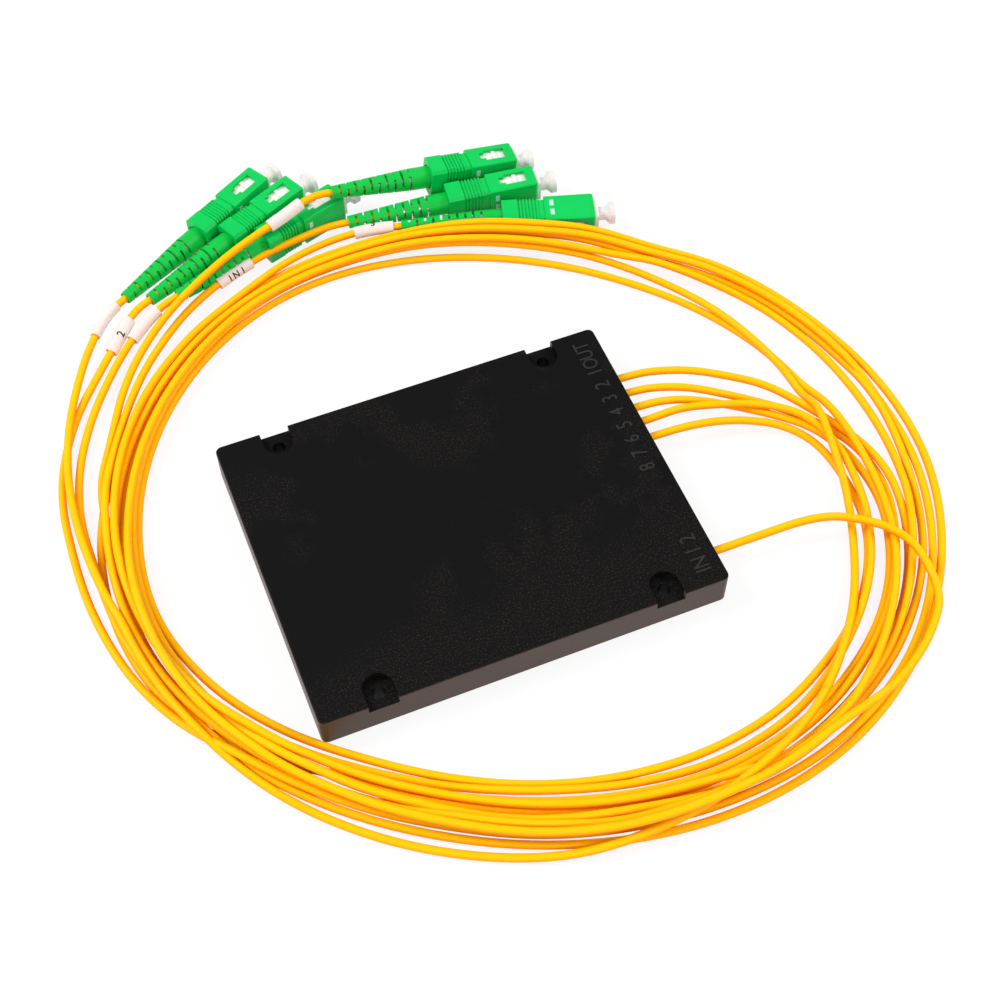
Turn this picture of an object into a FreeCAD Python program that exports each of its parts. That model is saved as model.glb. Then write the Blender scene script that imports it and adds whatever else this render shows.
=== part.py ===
"""Boxed fibre splitter: a flat moulded box with a planar splitter module inside, one input leg
and five output legs in 2 mm cable, each leg ending in a push-pull plug with its dust cap.

Millimetres. The origin is the middle of the box's underside, +X points at the wall the cables
leave by, +Y across the box and +Z up. The cables lie in a loose oval coil round the box.
"""
import FreeCAD, Part
import math
import os
from FreeCAD import Placement, Rotation, Vector

SIZES = {
    # the box
    "box_length": 100.0, "box_width": 80.0, "box_height": 10.0,
    "box_corner": 1.6, "box_wall": 2.0, "box_floor": 1.5, "foot_chamfer": 0.6,
    "cover_thickness": 1.3, "cover_edge": 0.5, "lip_depth": 1.0, "lip_wall": 1.0, "lip_gap": 0.2,
    "ear_inset_x": 15.0, "ear_inset_y": 4.0, "ear_hole": 3.2, "ear_radius": 3.6,
    "ear_drop": 2.4, "ear_wall": 1.5,
    # the cable ports
    "port_bore": 2.3, "port_pitch": 4.9, "out_port_inset": 14.2, "in_port_inset": 10.4,
    "anchor_outer": 3.2, "anchor_length": 4.0, "cable_inside": 0.6,
    # the splitter module and its fibres
    "module_length": 48.0, "module_width": 7.0, "module_height": 4.0, "module_wall": 0.4,
    "fibre_clearance": 0.7, "fibre_lead": 0.5, "module_inset": 25.0, "pad_thickness": 1.5, "pad_inset": 0.5,
    "end_boot_out": 2.5, "end_boot_in": 3.0, "end_slot_height": 1.0,
    "chip_length": 12.0, "chip_width": 3.0, "chip_height": 2.2, "array_length": 6.0,
    "buffer_diameter": 0.9, "buffer_pitch": 1.0,
    # the cable
    "cable_diameter": 2.0, "sleeve_outer": 3.0, "sleeve_length": 10.8,
    "coil_height": 6.0, "coil_round": 1.8,
    # the plug, measured along its own axis from the tip of its boot
    "plug_length": 52.5, "housing_length": 25.0, "housing_width": 7.4, "housing_height": 9.0,
    "housing_edge": 0.7, "front_section": 13.5, "grip_recess": 0.45, "collar_length": 4.3,
    "collar_chamfer": 0.8, "rib_count": 6, "rib_pitch": 0.92, "rib_width": 0.46, "rib_drop": 0.15,
    "frame_gap": 0.1, "side_wall": 0.85, "window_wall": 0.95, "rear_wall": 3.4, "rear_bore": 6.6,
    "window_start": 14.9, "window_length": 7.3, "window_width": 3.6,
    "window_neck": 1.5, "neck_width": 2.2,
    "key_width": 2.4, "key_height": 0.5, "key_length": 13.0,
    "frame_out": 1.0, "frame_length": 22.4, "frame_stop": 2.5, "frame_mouth": 4.0,
    "lug_length": 1.0, "lug_height": 0.55, "lug_start": 18.7,
    "frame_bore": 4.6, "stop_bore": 2.7, "mouth_bore": 4.2,
    "ferrule_diameter": 2.5, "ferrule_out": 1.5, "ferrule_chamfer": 0.35,
    "flange_diameter": 4.3, "flange_length": 2.5, "stem_diameter": 2.0, "stem_length": 6.0,
    "post_bore": 1.3, "post_nose": 5.0, "post_nose_gap": 0.05, "post_flange": 5.2,
    "post_flange_length": 1.6, "post_tail": 8.0, "post_tail_diameter": 3.4,
    "crimp_wall": 0.4, "crimp_gap": 0.05, "crimp_step": 0.3, "crimp_end_gap": 0.3,
    "crimp_neck_length": 9.0, "crimp_neck_wall": 0.45, "jacket_in_neck": 2.0,
    "spring_outer": 3.8, "spring_wire": 0.5, "spring_turns": 5,
    "boot_length": 27.5, "boot_tip": 3.4, "boot_root": 6.0, "boot_taper": 22.0, "boot_tuck": 1.3,
    "boot_bore": 2.5, "boot_neck_gap": 0.1, "boot_socket_gap": 0.1,
    "slot_count": 5, "slot_first": 2.2, "slot_pitch": 4.36, "slot_width": 0.64, "slot_bridge": 1.6,
    "cap_sleeve": 3.6, "cap_fit": 0.05, "cap_reach": 3.9, "cap_stem": 2.9, "cap_flange": 6.0,
    "cap_flange_length": 1.7, "cap_dish": 0.7, "cap_end_gap": 0.5,
}

# Places that follow the box: its screw ears, its rows of ports and the module inside it.
EAR_X = "(box_length / 2 - ear_inset_x)"
EAR_Y = "(box_width / 2 - ear_inset_y)"
PORT_Z = "(box_floor + pad_thickness + module_height / 2)"
OUT_PORT_Y = "(box_width / 2 - out_port_inset)"
IN_PORT_Y = "(in_port_inset - box_width / 2)"
MODULE_Y = "(box_width / 2 - module_inset)"
FIBRE_BEND = f"(({MODULE_Y} - {IN_PORT_Y}) / 2)"
MODULE_X = f"(box_wall + fibre_clearance + {FIBRE_BEND} + fibre_lead + end_boot_out - box_length / 2)"

# Where each plug lies: the middle of its housing's front face, the way it points, how far its
# nose dips, how far it is rolled about its own axis, and how its boot is turned on it (degrees).
PLUGS = {
    "out_1": {"front": (-11.9, 125.6), "heading": 30.0, "dip": 0.0, "roll": 0.0, "boot_turn": 16.0},
    "out_2": {"front": (-3.9, 118.6), "heading": 25.0, "dip": 0.0, "roll": 0.0, "boot_turn": 90.0},
    "out_3": {"front": (5.6, 111.0), "heading": 18.0, "dip": 0.0, "roll": 0.0, "boot_turn": 16.0},
    "out_4": {"front": (55.3, 106.6), "heading": -1.5, "dip": 8.0, "roll": 0.0, "boot_turn": -76.0},
    "in_1": {"front": (57.9, 96.2), "heading": -7.0, "dip": 0.0, "roll": 0.0, "boot_turn": -56.0},
    "out_5": {"front": (68.8, 80.5), "heading": -17.2, "dip": 0.0, "roll": -90.0, "boot_turn": -56.0},
}

# The port each cable leaves by, counted from the first of its row.
PORTS = {"out_1": 0, "out_2": 1, "out_3": 2, "out_4": 3, "out_5": 4, "in_1": 0}

# Each cable's way from its port to the coil: how far it runs straight out of the wall, then the
# points of its route.
LEADS = {
    "out_1": (8.6, [(74.4, 20.4, 4.2), (86.8, 9.9, 3.2), (94.8, -3.2, 2.6)]),
    "out_2": (8.2, [(73.0, 15.4, 4.2), (84.8, 5.0, 3.2), (93.8, -7.4, 2.6)]),
    "out_3": (8.0, [(71.8, 11.2, 4.4), (83.4, 1.4, 3.2), (92.9, -10.6, 2.6)]),
    "out_4": (7.8, [(71.4, 7.4, 4.8), (82.6, -2.4, 3.8), (91.8, -14.4, 3.0)]),
    "out_5": (7.6, [(71.2, 3.2, 4.8), (82.1, -6.0, 3.8), (91.0, -17.6, 3.0)]),
    "in_1": (8.8, [(74.4, -28.6, 5.9), (87.2, -36.4, 6.4), (93.2, -47.0, 4.4)]),
}

# Each cable's way from the coil to the boot of its plug, where it enters on the plug's axis.
TAILS = {
    "out_1": [(-83.3, -4.0, 1.8), (-87.6, 13.0, 1.2), (-89.2, 31.5, 1.1), (-88.1, 50.0, 1.1),
              (-83.8, 67.0, 1.1), (-76.2, 82.0, 1.2)],
    "out_2": [(-84.2, 19.5, 1.8), (-86.2, 34.5, 1.1), (-84.9, 50.0, 1.1), (-79.9, 65.6, 1.1),
              (-71.4, 80.4, 1.2)],
    "out_3": [(-81.8, 33.0, 2.0), (-79.6, 48.6, 1.1), (-73.8, 64.4, 1.1), (-64.9, 79.7, 1.3)],
    "out_4": [(-76.3, 45.5, 2.2), (-71.4, 58.5, 1.2), (-63.8, 71.0, 1.1), (-55.0, 82.0, 2.0),
              (-45.6, 90.6, 6.2), (-34.2, 97.7, 8.6), (-21.3, 102.3, 10.9)],
    "in_1": [(-66.0, 62.5, 2.0), (-58.0, 74.8, 1.2), (-47.2, 85.6, 1.5), (-34.6, 92.2, 3.2),
             (-20.4, 97.2, 5.0)],
    "out_5": [(-40.2, 83.0, 1.6), (-24.6, 93.2, 1.1), (-6.6, 100.2, 1.2)],
}
TURN_IN = 6.0             # a cable turns onto the plug's axis this far outside the boot
SLEEVE_FROM_BOOT = {"out_1": 2.5, "out_2": 2.0, "out_3": 5.5, "out_4": 9.5, "in_1": 27.0,
                    "out_5": 2.5}

# The coil lies between two ovals: centre, half axes and turn of the long axis.
COIL_OUTER = {"centre": (13.2, 0.3), "long": 104.5, "short": 87.4, "turn": -24.7}
COIL_INNER = {"centre": (8.0, 6.0), "long": 86.8, "short": 75.2, "turn": -37.2}

ARC_SHARE = 0.45          # each arc of a cable reaches this far along its shorter run

doc = FreeCAD.newDocument("fibre_splitter")
pieces = {}


# ---------------------------------------------------------------- sheet and small helpers
def make_sheet():
    sheet = doc.addObject("Spreadsheet::Sheet", "Sizes")
    for row, (name, value) in enumerate(SIZES.items(), start=1):
        sheet.set(f"A{row}", name)
        sheet.set(f"B{row}", str(value))
        sheet.setAlias(f"B{row}", name)
    doc.recompute()
    return sheet


def size(expression):
    """The value of an expression on the sheet's names, in millimetres."""
    result = sheet.evalExpression(expression)
    return float(getattr(result, "Value", result))


def bind(target, **expressions):
    """Tie properties to the sheet; a double underscore stands for a dot."""
    for name, expression in expressions.items():
        target.setExpression(name.replace("__", "."), on_sheet(expression))


def on_sheet(expression):
    """Put the sheet's name before each of its names in an expression."""
    words, word = [], ""
    for letter in expression + " ":
        if letter.isalnum() or letter == "_":
            word += letter
            continue
        words.append("Sizes." + word if word in SIZES else word)
        words.append(letter)
        word = ""
    return "".join(words).strip()


def keep(name, thing):
    """Name a finished sub-part and put it on the list of pieces to write."""
    thing.Label = name
    pieces[name] = thing
    return thing


def new_body(name):
    return doc.addObject("PartDesign::Body", name)


def plane_of(body, role):
    return next(item for item in body.Origin.OriginFeatures if item.Role == role)


def new_sketch(body, role, offset="0"):
    """A sketch on one of the body's own planes, moved along the plane's normal."""
    sketch = body.newObject("Sketcher::SketchObject", "Sketch")
    sketch.AttachmentSupport = [(plane_of(body, role), "")]
    sketch.MapMode = "FlatFace"
    bind(sketch, AttachmentOffset__Base__z=offset)
    return sketch


def add_polygon(sketch, corners):
    """A closed outline whose corners are pairs of expressions, each held from the origin."""
    spots = [Vector(size(x), size(y), 0) for x, y in corners]
    first = sketch.GeometryCount
    for start, end in zip(spots, spots[1:] + spots[:1]):
        sketch.addGeometry(Part.LineSegment(start, end), False)
    count = len(spots)
    for i in range(count):
        after = first + (i + 1) % count
        sketch.addConstraint(Sketcher.Constraint("Coincident", first + i, 2, after, 1))
    for i, (x, y) in enumerate(corners):
        for kind, expression, value in (("DistanceX", x, spots[i].x), ("DistanceY", y, spots[i].y)):
            row = sketch.addConstraint(Sketcher.Constraint(kind, -1, 1, first + i, 1, value))
            sketch.setExpression(f"Constraints[{row}]", on_sheet(expression))


def add_rectangle(sketch, width, height, x="0", y="0"):
    left, right = f"({x}) - ({width}) / 2", f"({x}) + ({width}) / 2"
    low, high = f"({y}) - ({height}) / 2", f"({y}) + ({height}) / 2"
    add_polygon(sketch, [(left, low), (right, low), (right, high), (left, high)])


def add_circle(sketch, diameter, x="0", y="0"):
    centre = Vector(size(x), size(y), 0)
    index = sketch.addGeometry(Part.Circle(centre, Vector(0, 0, 1), size(diameter) / 2), False)
    for kind, expression, value in (("DistanceX", x, centre.x), ("DistanceY", y, centre.y)):
        row = sketch.addConstraint(Sketcher.Constraint(kind, -1, 1, index, 3, value))
        sketch.setExpression(f"Constraints[{row}]", on_sheet(expression))
    row = sketch.addConstraint(Sketcher.Constraint("Diameter", index, size(diameter)))
    sketch.setExpression(f"Constraints[{row}]", on_sheet(diameter))


def pad(body, sketch, length, reverse=False):
    feature = body.newObject("PartDesign::Pad", "Pad")
    feature.Profile = sketch
    feature.Reversed = reverse
    bind(feature, Length=length)
    doc.recompute()
    return feature


def pocket(body, sketch, depth=None, both_ways=False):
    """Cut below the sketch's plane, or all the way through when no depth is given."""
    feature = body.newObject("PartDesign::Pocket", "Pocket")
    feature.Profile = sketch
    if depth is None:
        feature.Type = "ThroughAll"
        feature.Midplane = both_ways
    else:
        bind(feature, Length=depth)
    doc.recompute()
    return feature


def revolve(body, corners):
    """Turn a closed outline, given as pairs (along X, distance from X), about the X axis."""
    sketch = new_sketch(body, "XY_Plane")
    add_polygon(sketch, corners)
    feature = body.newObject("PartDesign::Revolution", "Revolution")
    feature.Profile = sketch
    feature.ReferenceAxis = (sketch, ["H_Axis"])
    feature.Angle = 360.0
    doc.recompute()
    return feature


def row_of(body, feature, direction, spacing, count):
    """Repeat a feature along one of the body's axes, `count` times in all."""
    pattern = body.newObject("PartDesign::LinearPattern", "Row")
    pattern.Originals = [feature]
    axis = next(item for item in body.Origin.OriginFeatures if item.Role == direction)
    pattern.Direction = (axis, [""])
    pattern.Mode = "Spacing"
    pattern.Occurrences = int(count)
    bind(pattern, Offset=spacing)
    body.Tip = pattern
    doc.recompute()
    return pattern


def round_edges(body, feature, radius, wanted, kind="PartDesign::Fillet"):
    """Fillet or chamfer those edges of a feature for which `wanted` is true."""
    names = [f"Edge{i}" for i, edge in enumerate(feature.Shape.Edges, start=1) if wanted(edge)]
    rounding = body.newObject(kind, "Rounding")
    rounding.Base = (feature, names)
    bind(rounding, **{"Radius" if kind.endswith("Fillet") else "Size": radius})
    doc.recompute()
    return rounding


def stands_upright(edge):
    ends = [vertex.Point for vertex in edge.Vertexes]
    return len(ends) == 2 and (ends[1] - ends[0]).getAngle(Vector(0, 0, 1)) % math.pi < 1e-6


def lies_at(edge, height):
    return all(abs(vertex.Z - height) < 1e-6 for vertex in edge.Vertexes)


# ---------------------------------------------------------------- the box
EARS = [(sx, sy) for sx in (-1, 1) for sy in (-1, 1)]


def add_ear_slots(body, height, depth, through_hole=False):
    """Cut the U-shaped seats that open to the long edges, or only their screw holes."""
    for sx, sy in EARS:
        x = f"{sx} * {EAR_X}"
        sketch = new_sketch(body, "XY_Plane", height)
        if through_hole:
            add_circle(sketch, "ear_hole", x, f"{sy} * {EAR_Y}")
            pocket(body, sketch, depth)
            continue
        add_circle(sketch, "2 * ear_radius", x, f"{sy} * {EAR_Y}")
        pocket(body, sketch, depth)
        sketch = new_sketch(body, "XY_Plane", height)
        reach = f"(box_width / 2 - {EAR_Y} + 1)"
        add_rectangle(sketch, "2 * ear_radius", reach, x, f"{sy} * ({EAR_Y} + {reach} / 2)")
        pocket(body, sketch, depth)


def make_base_shell():
    """A moulded tray with four screw ears and a row of cable ports in one end wall."""
    body = new_body("base_shell")
    sketch = new_sketch(body, "XY_Plane")
    add_rectangle(sketch, "box_length", "box_width")
    block = pad(body, sketch, "box_height - cover_thickness")
    block = round_edges(body, block, "box_corner", stands_upright)
    round_edges(body, block, "foot_chamfer", lambda edge: lies_at(edge, 0.0), "PartDesign::Chamfer")

    sketch = new_sketch(body, "XY_Plane", "box_height - cover_thickness")
    add_rectangle(sketch, "box_length - 2 * box_wall", "box_width - 2 * box_wall")
    pocket(body, sketch, "box_height - cover_thickness - box_floor")

    for sx, sy in EARS:
        sketch = new_sketch(body, "XY_Plane", "box_floor")
        deep = f"(box_width / 2 - box_wall - {EAR_Y} + ear_radius + ear_wall)"
        add_rectangle(sketch, "2 * (ear_radius + ear_wall)", deep, f"{sx} * {EAR_X}",
                      f"{sy} * (box_width / 2 - box_wall - {deep} / 2)")
        pad(body, sketch, "box_height - cover_thickness - box_floor")
    add_ear_slots(body, "box_height - cover_thickness", "ear_drop - cover_thickness")
    add_ear_slots(body, "box_height - ear_drop", "box_height - ear_drop", through_hole=True)

    wall_middle = "box_length / 2 - box_wall"
    for row_start, count in ((OUT_PORT_Y, 8), (IN_PORT_Y, 2)):
        for i in range(count):
            sketch = new_sketch(body, "YZ_Plane", "box_length / 2")
            step = -i if row_start == OUT_PORT_Y else i
            add_circle(sketch, "port_bore", f"{row_start} + {step} * port_pitch", PORT_Z)
            pocket(body, sketch, f"box_length / 2 - ({wall_middle})")
    return keep("base_shell", body)


def make_cover():
    """A flat lid on the tray's rim, with a lip that drops inside it between the ears."""
    body = new_body("cover")
    sketch = new_sketch(body, "XY_Plane", "box_height - cover_thickness")
    add_rectangle(sketch, "box_length", "box_width")
    plate = pad(body, sketch, "cover_thickness")
    plate = round_edges(body, plate, "box_corner", stands_upright)
    top = size("box_height")
    round_edges(body, plate, "cover_edge", lambda edge: lies_at(edge, top))

    sketch = new_sketch(body, "XY_Plane", "box_height - cover_thickness")
    inset = "2 * (box_wall + lip_gap)"
    add_rectangle(sketch, f"box_length - {inset}", f"box_width - {inset}")
    inner = "2 * (box_wall + lip_gap + lip_wall)"
    add_rectangle(sketch, f"box_length - {inner}", f"box_width - {inner}")
    pad(body, sketch, "lip_depth", reverse=True)
    for sx, sy in EARS:
        sketch = new_sketch(body, "XY_Plane", "box_height - cover_thickness")
        deep = f"(box_width / 2 - {EAR_Y} + ear_radius + ear_wall + lip_gap)"
        add_rectangle(sketch, "2 * (ear_radius + ear_wall + lip_gap)", deep,
                      f"{sx} * {EAR_X}", f"{sy} * (box_width / 2 - {deep} / 2)")
        pocket(body, sketch, "lip_depth + 1")
    add_ear_slots(body, "box_height", "cover_thickness + lip_depth + 1")
    return keep("cover", body)


# ---------------------------------------------------------------- the module inside
def make_box(name, length, width, height, x, y, z):
    """A block whose near lower corner and sizes are expressions on the sheet."""
    block = doc.addObject("Part::Box", name)
    bind(block, Length=length, Width=width, Height=height,
         Placement__Base__x=x, Placement__Base__y=y, Placement__Base__z=z)
    return block


MODULE_Z = "(box_floor + pad_thickness)"


def make_module():
    """A steel tube on a foam pad, closed at each end by a slotted rubber boot."""
    keep("module_pad", make_box(
        "module_pad", "module_length - 2 * pad_inset", "module_width - 2 * pad_inset",
        "pad_thickness", f"{MODULE_X} + pad_inset", f"{MODULE_Y} - module_width / 2 + pad_inset",
        "box_floor"))

    outside = make_box("tube_outside", "module_length", "module_width", "module_height",
                       MODULE_X, f"{MODULE_Y} - module_width / 2", MODULE_Z)
    inside = make_box("tube_inside", "module_length + 2", "module_width - 2 * module_wall",
                      "module_height - 2 * module_wall", f"{MODULE_X} - 1",
                      f"{MODULE_Y} - module_width / 2 + module_wall", MODULE_Z + " + module_wall")
    tube = doc.addObject("Part::Cut", "splitter_module")
    tube.Base, tube.Tool = outside, inside
    keep("splitter_module", tube)

    ends = []
    for end, outer_x, inner_x in (("in", f"{MODULE_X} - end_boot_out", MODULE_X),
                                  ("out", f"{MODULE_X} + module_length",
                                   f"{MODULE_X} + module_length - end_boot_in")):
        head = make_box("boot_head_" + end, "end_boot_out", "module_width", "module_height",
                        outer_x, f"{MODULE_Y} - module_width / 2", MODULE_Z)
        plug = make_box("boot_plug_" + end, "end_boot_in", "module_width - 2 * module_wall",
                        "module_height - 2 * module_wall", inner_x,
                        f"{MODULE_Y} - module_width / 2 + module_wall", MODULE_Z + " + module_wall")
        joined = doc.addObject("Part::Fuse", "boot_solid_" + end)
        joined.Base, joined.Tool = head, plug
        width = "buffer_diameter + 0.2" if end == "in" else "5 * buffer_pitch + 0.2"
        slot = make_box("boot_slot_" + end, "end_boot_out + end_boot_in + 2", width,
                        "end_slot_height", f"{outer_x} - end_boot_in - 1",
                        f"{MODULE_Y} - ({width}) / 2",
                        MODULE_Z + " + (module_height - end_slot_height) / 2")
        cut = doc.addObject("Part::Cut", "boot_" + end)
        cut.Base, cut.Tool = joined, slot
        ends.append(cut)
    boots = doc.addObject("Part::Compound", "module_end_boots")
    boots.Links = ends
    keep("module_end_boots", boots)

    blocks = []
    middle = f"({MODULE_X} + module_length / 2)"
    for name, length, start in (
            ("input_array", "array_length", f"{middle} - chip_length / 2 - array_length"),
            ("waveguide_chip", "chip_length", f"{middle} - chip_length / 2"),
            ("output_array", "array_length", f"{middle} + chip_length / 2")):
        width = "chip_width" if name == "waveguide_chip" else "chip_width + 0.8"
        blocks.append(make_box(name, length, width, "chip_height", start,
                               f"{MODULE_Y} - ({width}) / 2", MODULE_Z + " + module_wall"))
    chip = doc.addObject("Part::Compound", "plc_chip")
    chip.Links = blocks
    keep("plc_chip", chip)


# ---------------------------------------------------------------- cables and fibres
def rounded_path(points, show=""):
    """Straight runs joined by tangent arcs, each as large as its two runs allow."""
    points = [Vector(point) for point in points]
    edges, radii, last = [], [], points[0]
    for before, corner, after in zip(points, points[1:], points[2:]):
        back, ahead = before - corner, after - corner
        reach = ARC_SHARE * min(back.Length, ahead.Length)
        half_turn = (math.pi - back.getAngle(ahead)) / 2
        radius = reach / math.tan(half_turn)
        back.normalize()
        ahead.normalize()
        start, end = corner + back * reach, corner + ahead * reach
        inward = back + ahead
        inward.normalize()
        centre = corner + inward * (radius / math.cos(half_turn))
        edges.append(Part.LineSegment(last, start).toShape())
        edges.append(Part.Arc(start, centre - inward * radius, end).toShape())
        radii.append(radius)
        last = end
    edges.append(Part.LineSegment(last, points[-1]).toShape())
    if show:
        print(show, "arc radii", " ".join(f"{radius:.0f}" for radius in radii),
              f"length {sum(edge.Length for edge in edges):.0f}")
    return edges


def part_of_path(edges, start, length):
    """The edges of a path between two distances measured from its beginning."""
    kept, gone = [], 0.0
    for edge in edges:
        low, high = max(start - gone, 0.0), min(start + length - gone, edge.Length)
        if high > low:
            first, last = edge.getParameterByLength(low), edge.getParameterByLength(high)
            kept.append(edge.Curve.toShape(first, last))
        gone += edge.Length
    return kept


def tube_along(edges, diameter):
    """A round solid along a path, checked against its section times its length."""
    wire = Part.Wire(edges)
    start = edges[0].valueAt(edges[0].FirstParameter)
    ahead = edges[0].tangentAt(edges[0].FirstParameter)
    ring = Part.Wire(Part.Circle(start, ahead, diameter / 2).toShape())
    solid = wire.makePipeShell([ring], True, False)
    expected = math.pi * diameter ** 2 / 4 * wire.Length
    if abs(solid.Volume / expected - 1) > 0.01:
        raise ValueError(f"tube volume {solid.Volume:.2f} against {expected:.2f}")
    return solid


def make_feature(name, shape):
    feature = doc.addObject("Part::Feature", name)
    feature.Shape = shape
    return keep(name, feature)


def port_place(cable):
    """Where a cable crosses the outer face of the end wall."""
    row, step = (IN_PORT_Y, 1) if cable.startswith("in") else (OUT_PORT_Y, -1)
    y = size(row) + step * PORTS[cable] * size("port_pitch")
    return Vector(size("box_length / 2"), y, size(PORT_Z))


def cable_start(cable):
    """The cable's end inside the box, just behind its anchor."""
    inside = size("box_wall + anchor_length + cable_inside")
    return port_place(cable) - Vector(inside, 0, 0)


def make_leads():
    for cable, (straight, way) in LEADS.items():
        first = port_place(cable) + Vector(straight, 0, 0)
        edges = rounded_path([cable_start(cable), first] + way, f"lead_{cable}")
        make_feature(f"lead_{cable}", tube_along(edges, size("cable_diameter")))


def jacket_end():
    """How far inside the boot the cable's jacket ends, in the neck of the crimp ring."""
    return size(f"{NECK_REAR} + jacket_in_neck")


def tail_points(cable):
    outside = plug_place(cable).multVec(Vector(-TURN_IN, 0, 0))
    inside = plug_place(cable).multVec(Vector(jacket_end(), 0, 0))
    return TAILS[cable] + [outside, inside]


def make_tails_and_sleeves():
    """The cable from the coil to each plug, and the heat-shrink marker sleeve on it."""
    sleeves = []
    for cable in TAILS:
        edges = rounded_path(tail_points(cable), f"tail_{cable}")
        make_feature(f"tail_{cable}", tube_along(edges, size("cable_diameter")))
        total = sum(edge.Length for edge in edges)
        start = total - jacket_end() - SLEEVE_FROM_BOOT[cable] - size("sleeve_length")
        stretch = part_of_path(edges, start, size("sleeve_length"))
        sleeve = tube_along(stretch, size("sleeve_outer"))
        sleeves.append(sleeve.cut(tube_along(stretch, size("cable_diameter"))))
    make_feature("marker_sleeves", Part.makeCompound(sleeves))


def oval(name, outline):
    ellipse = doc.addObject("Part::Ellipse", name)
    ellipse.MajorRadius = outline["long"]
    ellipse.MinorRadius = outline["short"]
    ellipse.Placement = Placement(Vector(*outline["centre"], 0),
                                  Rotation(Vector(0, 0, 1), outline["turn"]))
    slab = doc.addObject("Part::Extrusion", name + "_slab")
    slab.Base = ellipse
    slab.DirMode = "Custom"
    slab.Dir = Vector(0, 0, 1)
    slab.Solid = True
    bind(slab, LengthFwd="coil_height")
    return slab


def make_coil():
    """The outer shape of the loose coil: a low ring between two ovals."""
    ring = doc.addObject("Part::Cut", "coil_ring")
    ring.Base, ring.Tool = oval("coil_outline", COIL_OUTER), oval("coil_opening", COIL_INNER)
    doc.recompute()
    top = size("coil_height")
    rounded = doc.addObject("Part::Fillet", "cord_coil")
    rounded.Base = ring
    radius = size("coil_round")
    rounded.Edges = [(i, radius, radius) for i, edge in enumerate(ring.Shape.Edges, start=1)
                     if lies_at(edge, top)]
    keep("cord_coil", rounded)


def fibre_way(cable):
    """A buffered fibre's way from its cable to the slot in the module's end boot."""
    start = cable_start(cable)
    z = size(MODULE_Z + " + module_height / 2")
    if cable.startswith("in"):
        y_in, x_end = size(MODULE_Y), size(f"{MODULE_X} - end_boot_out / 2 + end_boot_in / 2")
        bend = (y_in - start.y) / 2
        x_turn = size(f"{MODULE_X} - end_boot_out - fibre_lead")
        entry = Vector(x_end, y_in, z)
        low, high = Vector(x_turn, start.y, z), Vector(x_turn, y_in, z)
        middle = Vector(x_turn - bend, start.y + bend, z)
        return [Part.LineSegment(start, low).toShape(), Part.Arc(low, middle, high).toShape(),
                Part.LineSegment(high, entry).toShape()]
    y_end = size(MODULE_Y) + (2 - PORTS[cable]) * size("buffer_pitch")
    end = Vector(size(f"{MODULE_X} + module_length - end_boot_in / 2"), y_end, z)
    gate = Vector(size(f"{MODULE_X} + module_length + end_boot_out") + 0.3, y_end, z)
    return s_bend(end, gate, start)


def s_bend(inner, gate, outer):
    """A straight start, then two equal and opposite arcs out to the cable's end."""
    out = outer - Vector(0.3, 0, 0)
    rise, run = out.y - gate.y, out.x - gate.x
    if abs(rise) < 0.01:
        return [Part.LineSegment(inner, outer).toShape()]
    radius = (run ** 2 + rise ** 2) / (4 * abs(rise))
    middle = Vector((gate.x + out.x) / 2, (gate.y + out.y) / 2, gate.z)
    side = math.copysign(1, rise)
    turn = math.asin(run / 2 / radius) / 2
    first = gate + Vector(radius * math.sin(turn), side * radius * (1 - math.cos(turn)), 0)
    second = out - Vector(radius * math.sin(turn), side * radius * (1 - math.cos(turn)), 0)
    return [Part.LineSegment(inner, gate).toShape(), Part.Arc(gate, first, middle).toShape(),
            Part.Arc(middle, second, out).toShape(), Part.LineSegment(out, outer).toShape()]


def make_fibres_and_anchors():
    fibres, anchors = [], []
    for cable in PORTS:
        fibres.append(tube_along(fibre_way(cable), size("buffer_diameter")))
        place = port_place(cable) - Vector(size("box_wall + anchor_length"), 0, 0)
        along = Vector(1, 0, 0)
        collar = Part.makeCylinder(size("anchor_outer") / 2, size("anchor_length"), place, along)
        bore = Part.makeCylinder(size("cable_diameter") / 2, size("anchor_length"), place, along)
        anchors.append(collar.cut(bore))
    make_feature("buffer_fibres", Part.makeCompound(fibres))
    make_feature("cable_anchors", Part.makeCompound(anchors))


# ---------------------------------------------------------------- the plug
REAR = "(plug_length - housing_length)"
FRAME_REAR = "(plug_length + frame_out - frame_length)"
FRAME_FRONT = "(plug_length + frame_out)"
STOP_REAR = "(plug_length + frame_out - frame_mouth - frame_stop)"
POST_REAR = f"({FRAME_REAR} - post_flange_length - post_tail)"
CRIMP_FRONT = f"({FRAME_REAR} - post_flange_length - crimp_end_gap)"
CRIMP_REAR = f"({POST_REAR} - crimp_step - crimp_end_gap)"
NECK_REAR = f"({CRIMP_REAR} - crimp_neck_length)"
CAVITY_WIDTH = "(housing_width - 2 * side_wall)"
CAVITY_HEIGHT = "(housing_height - 2 * window_wall)"


def rounded_section(width, height, cut):
    """The corners of a rectangle about the origin with its four corners cut off."""
    x, y = f"({width}) / 2", f"({height}) / 2"
    return [(f"{x} - {cut}", f"-{y}"), (x, f"-({y} - {cut})"), (x, f"{y} - {cut}"),
            (f"{x} - {cut}", y), (f"-({x} - {cut})", y), (f"-{x}", f"{y} - {cut}"),
            (f"-{x}", f"-({y} - {cut})"), (f"-({x} - {cut})", f"-{y}")]


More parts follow.
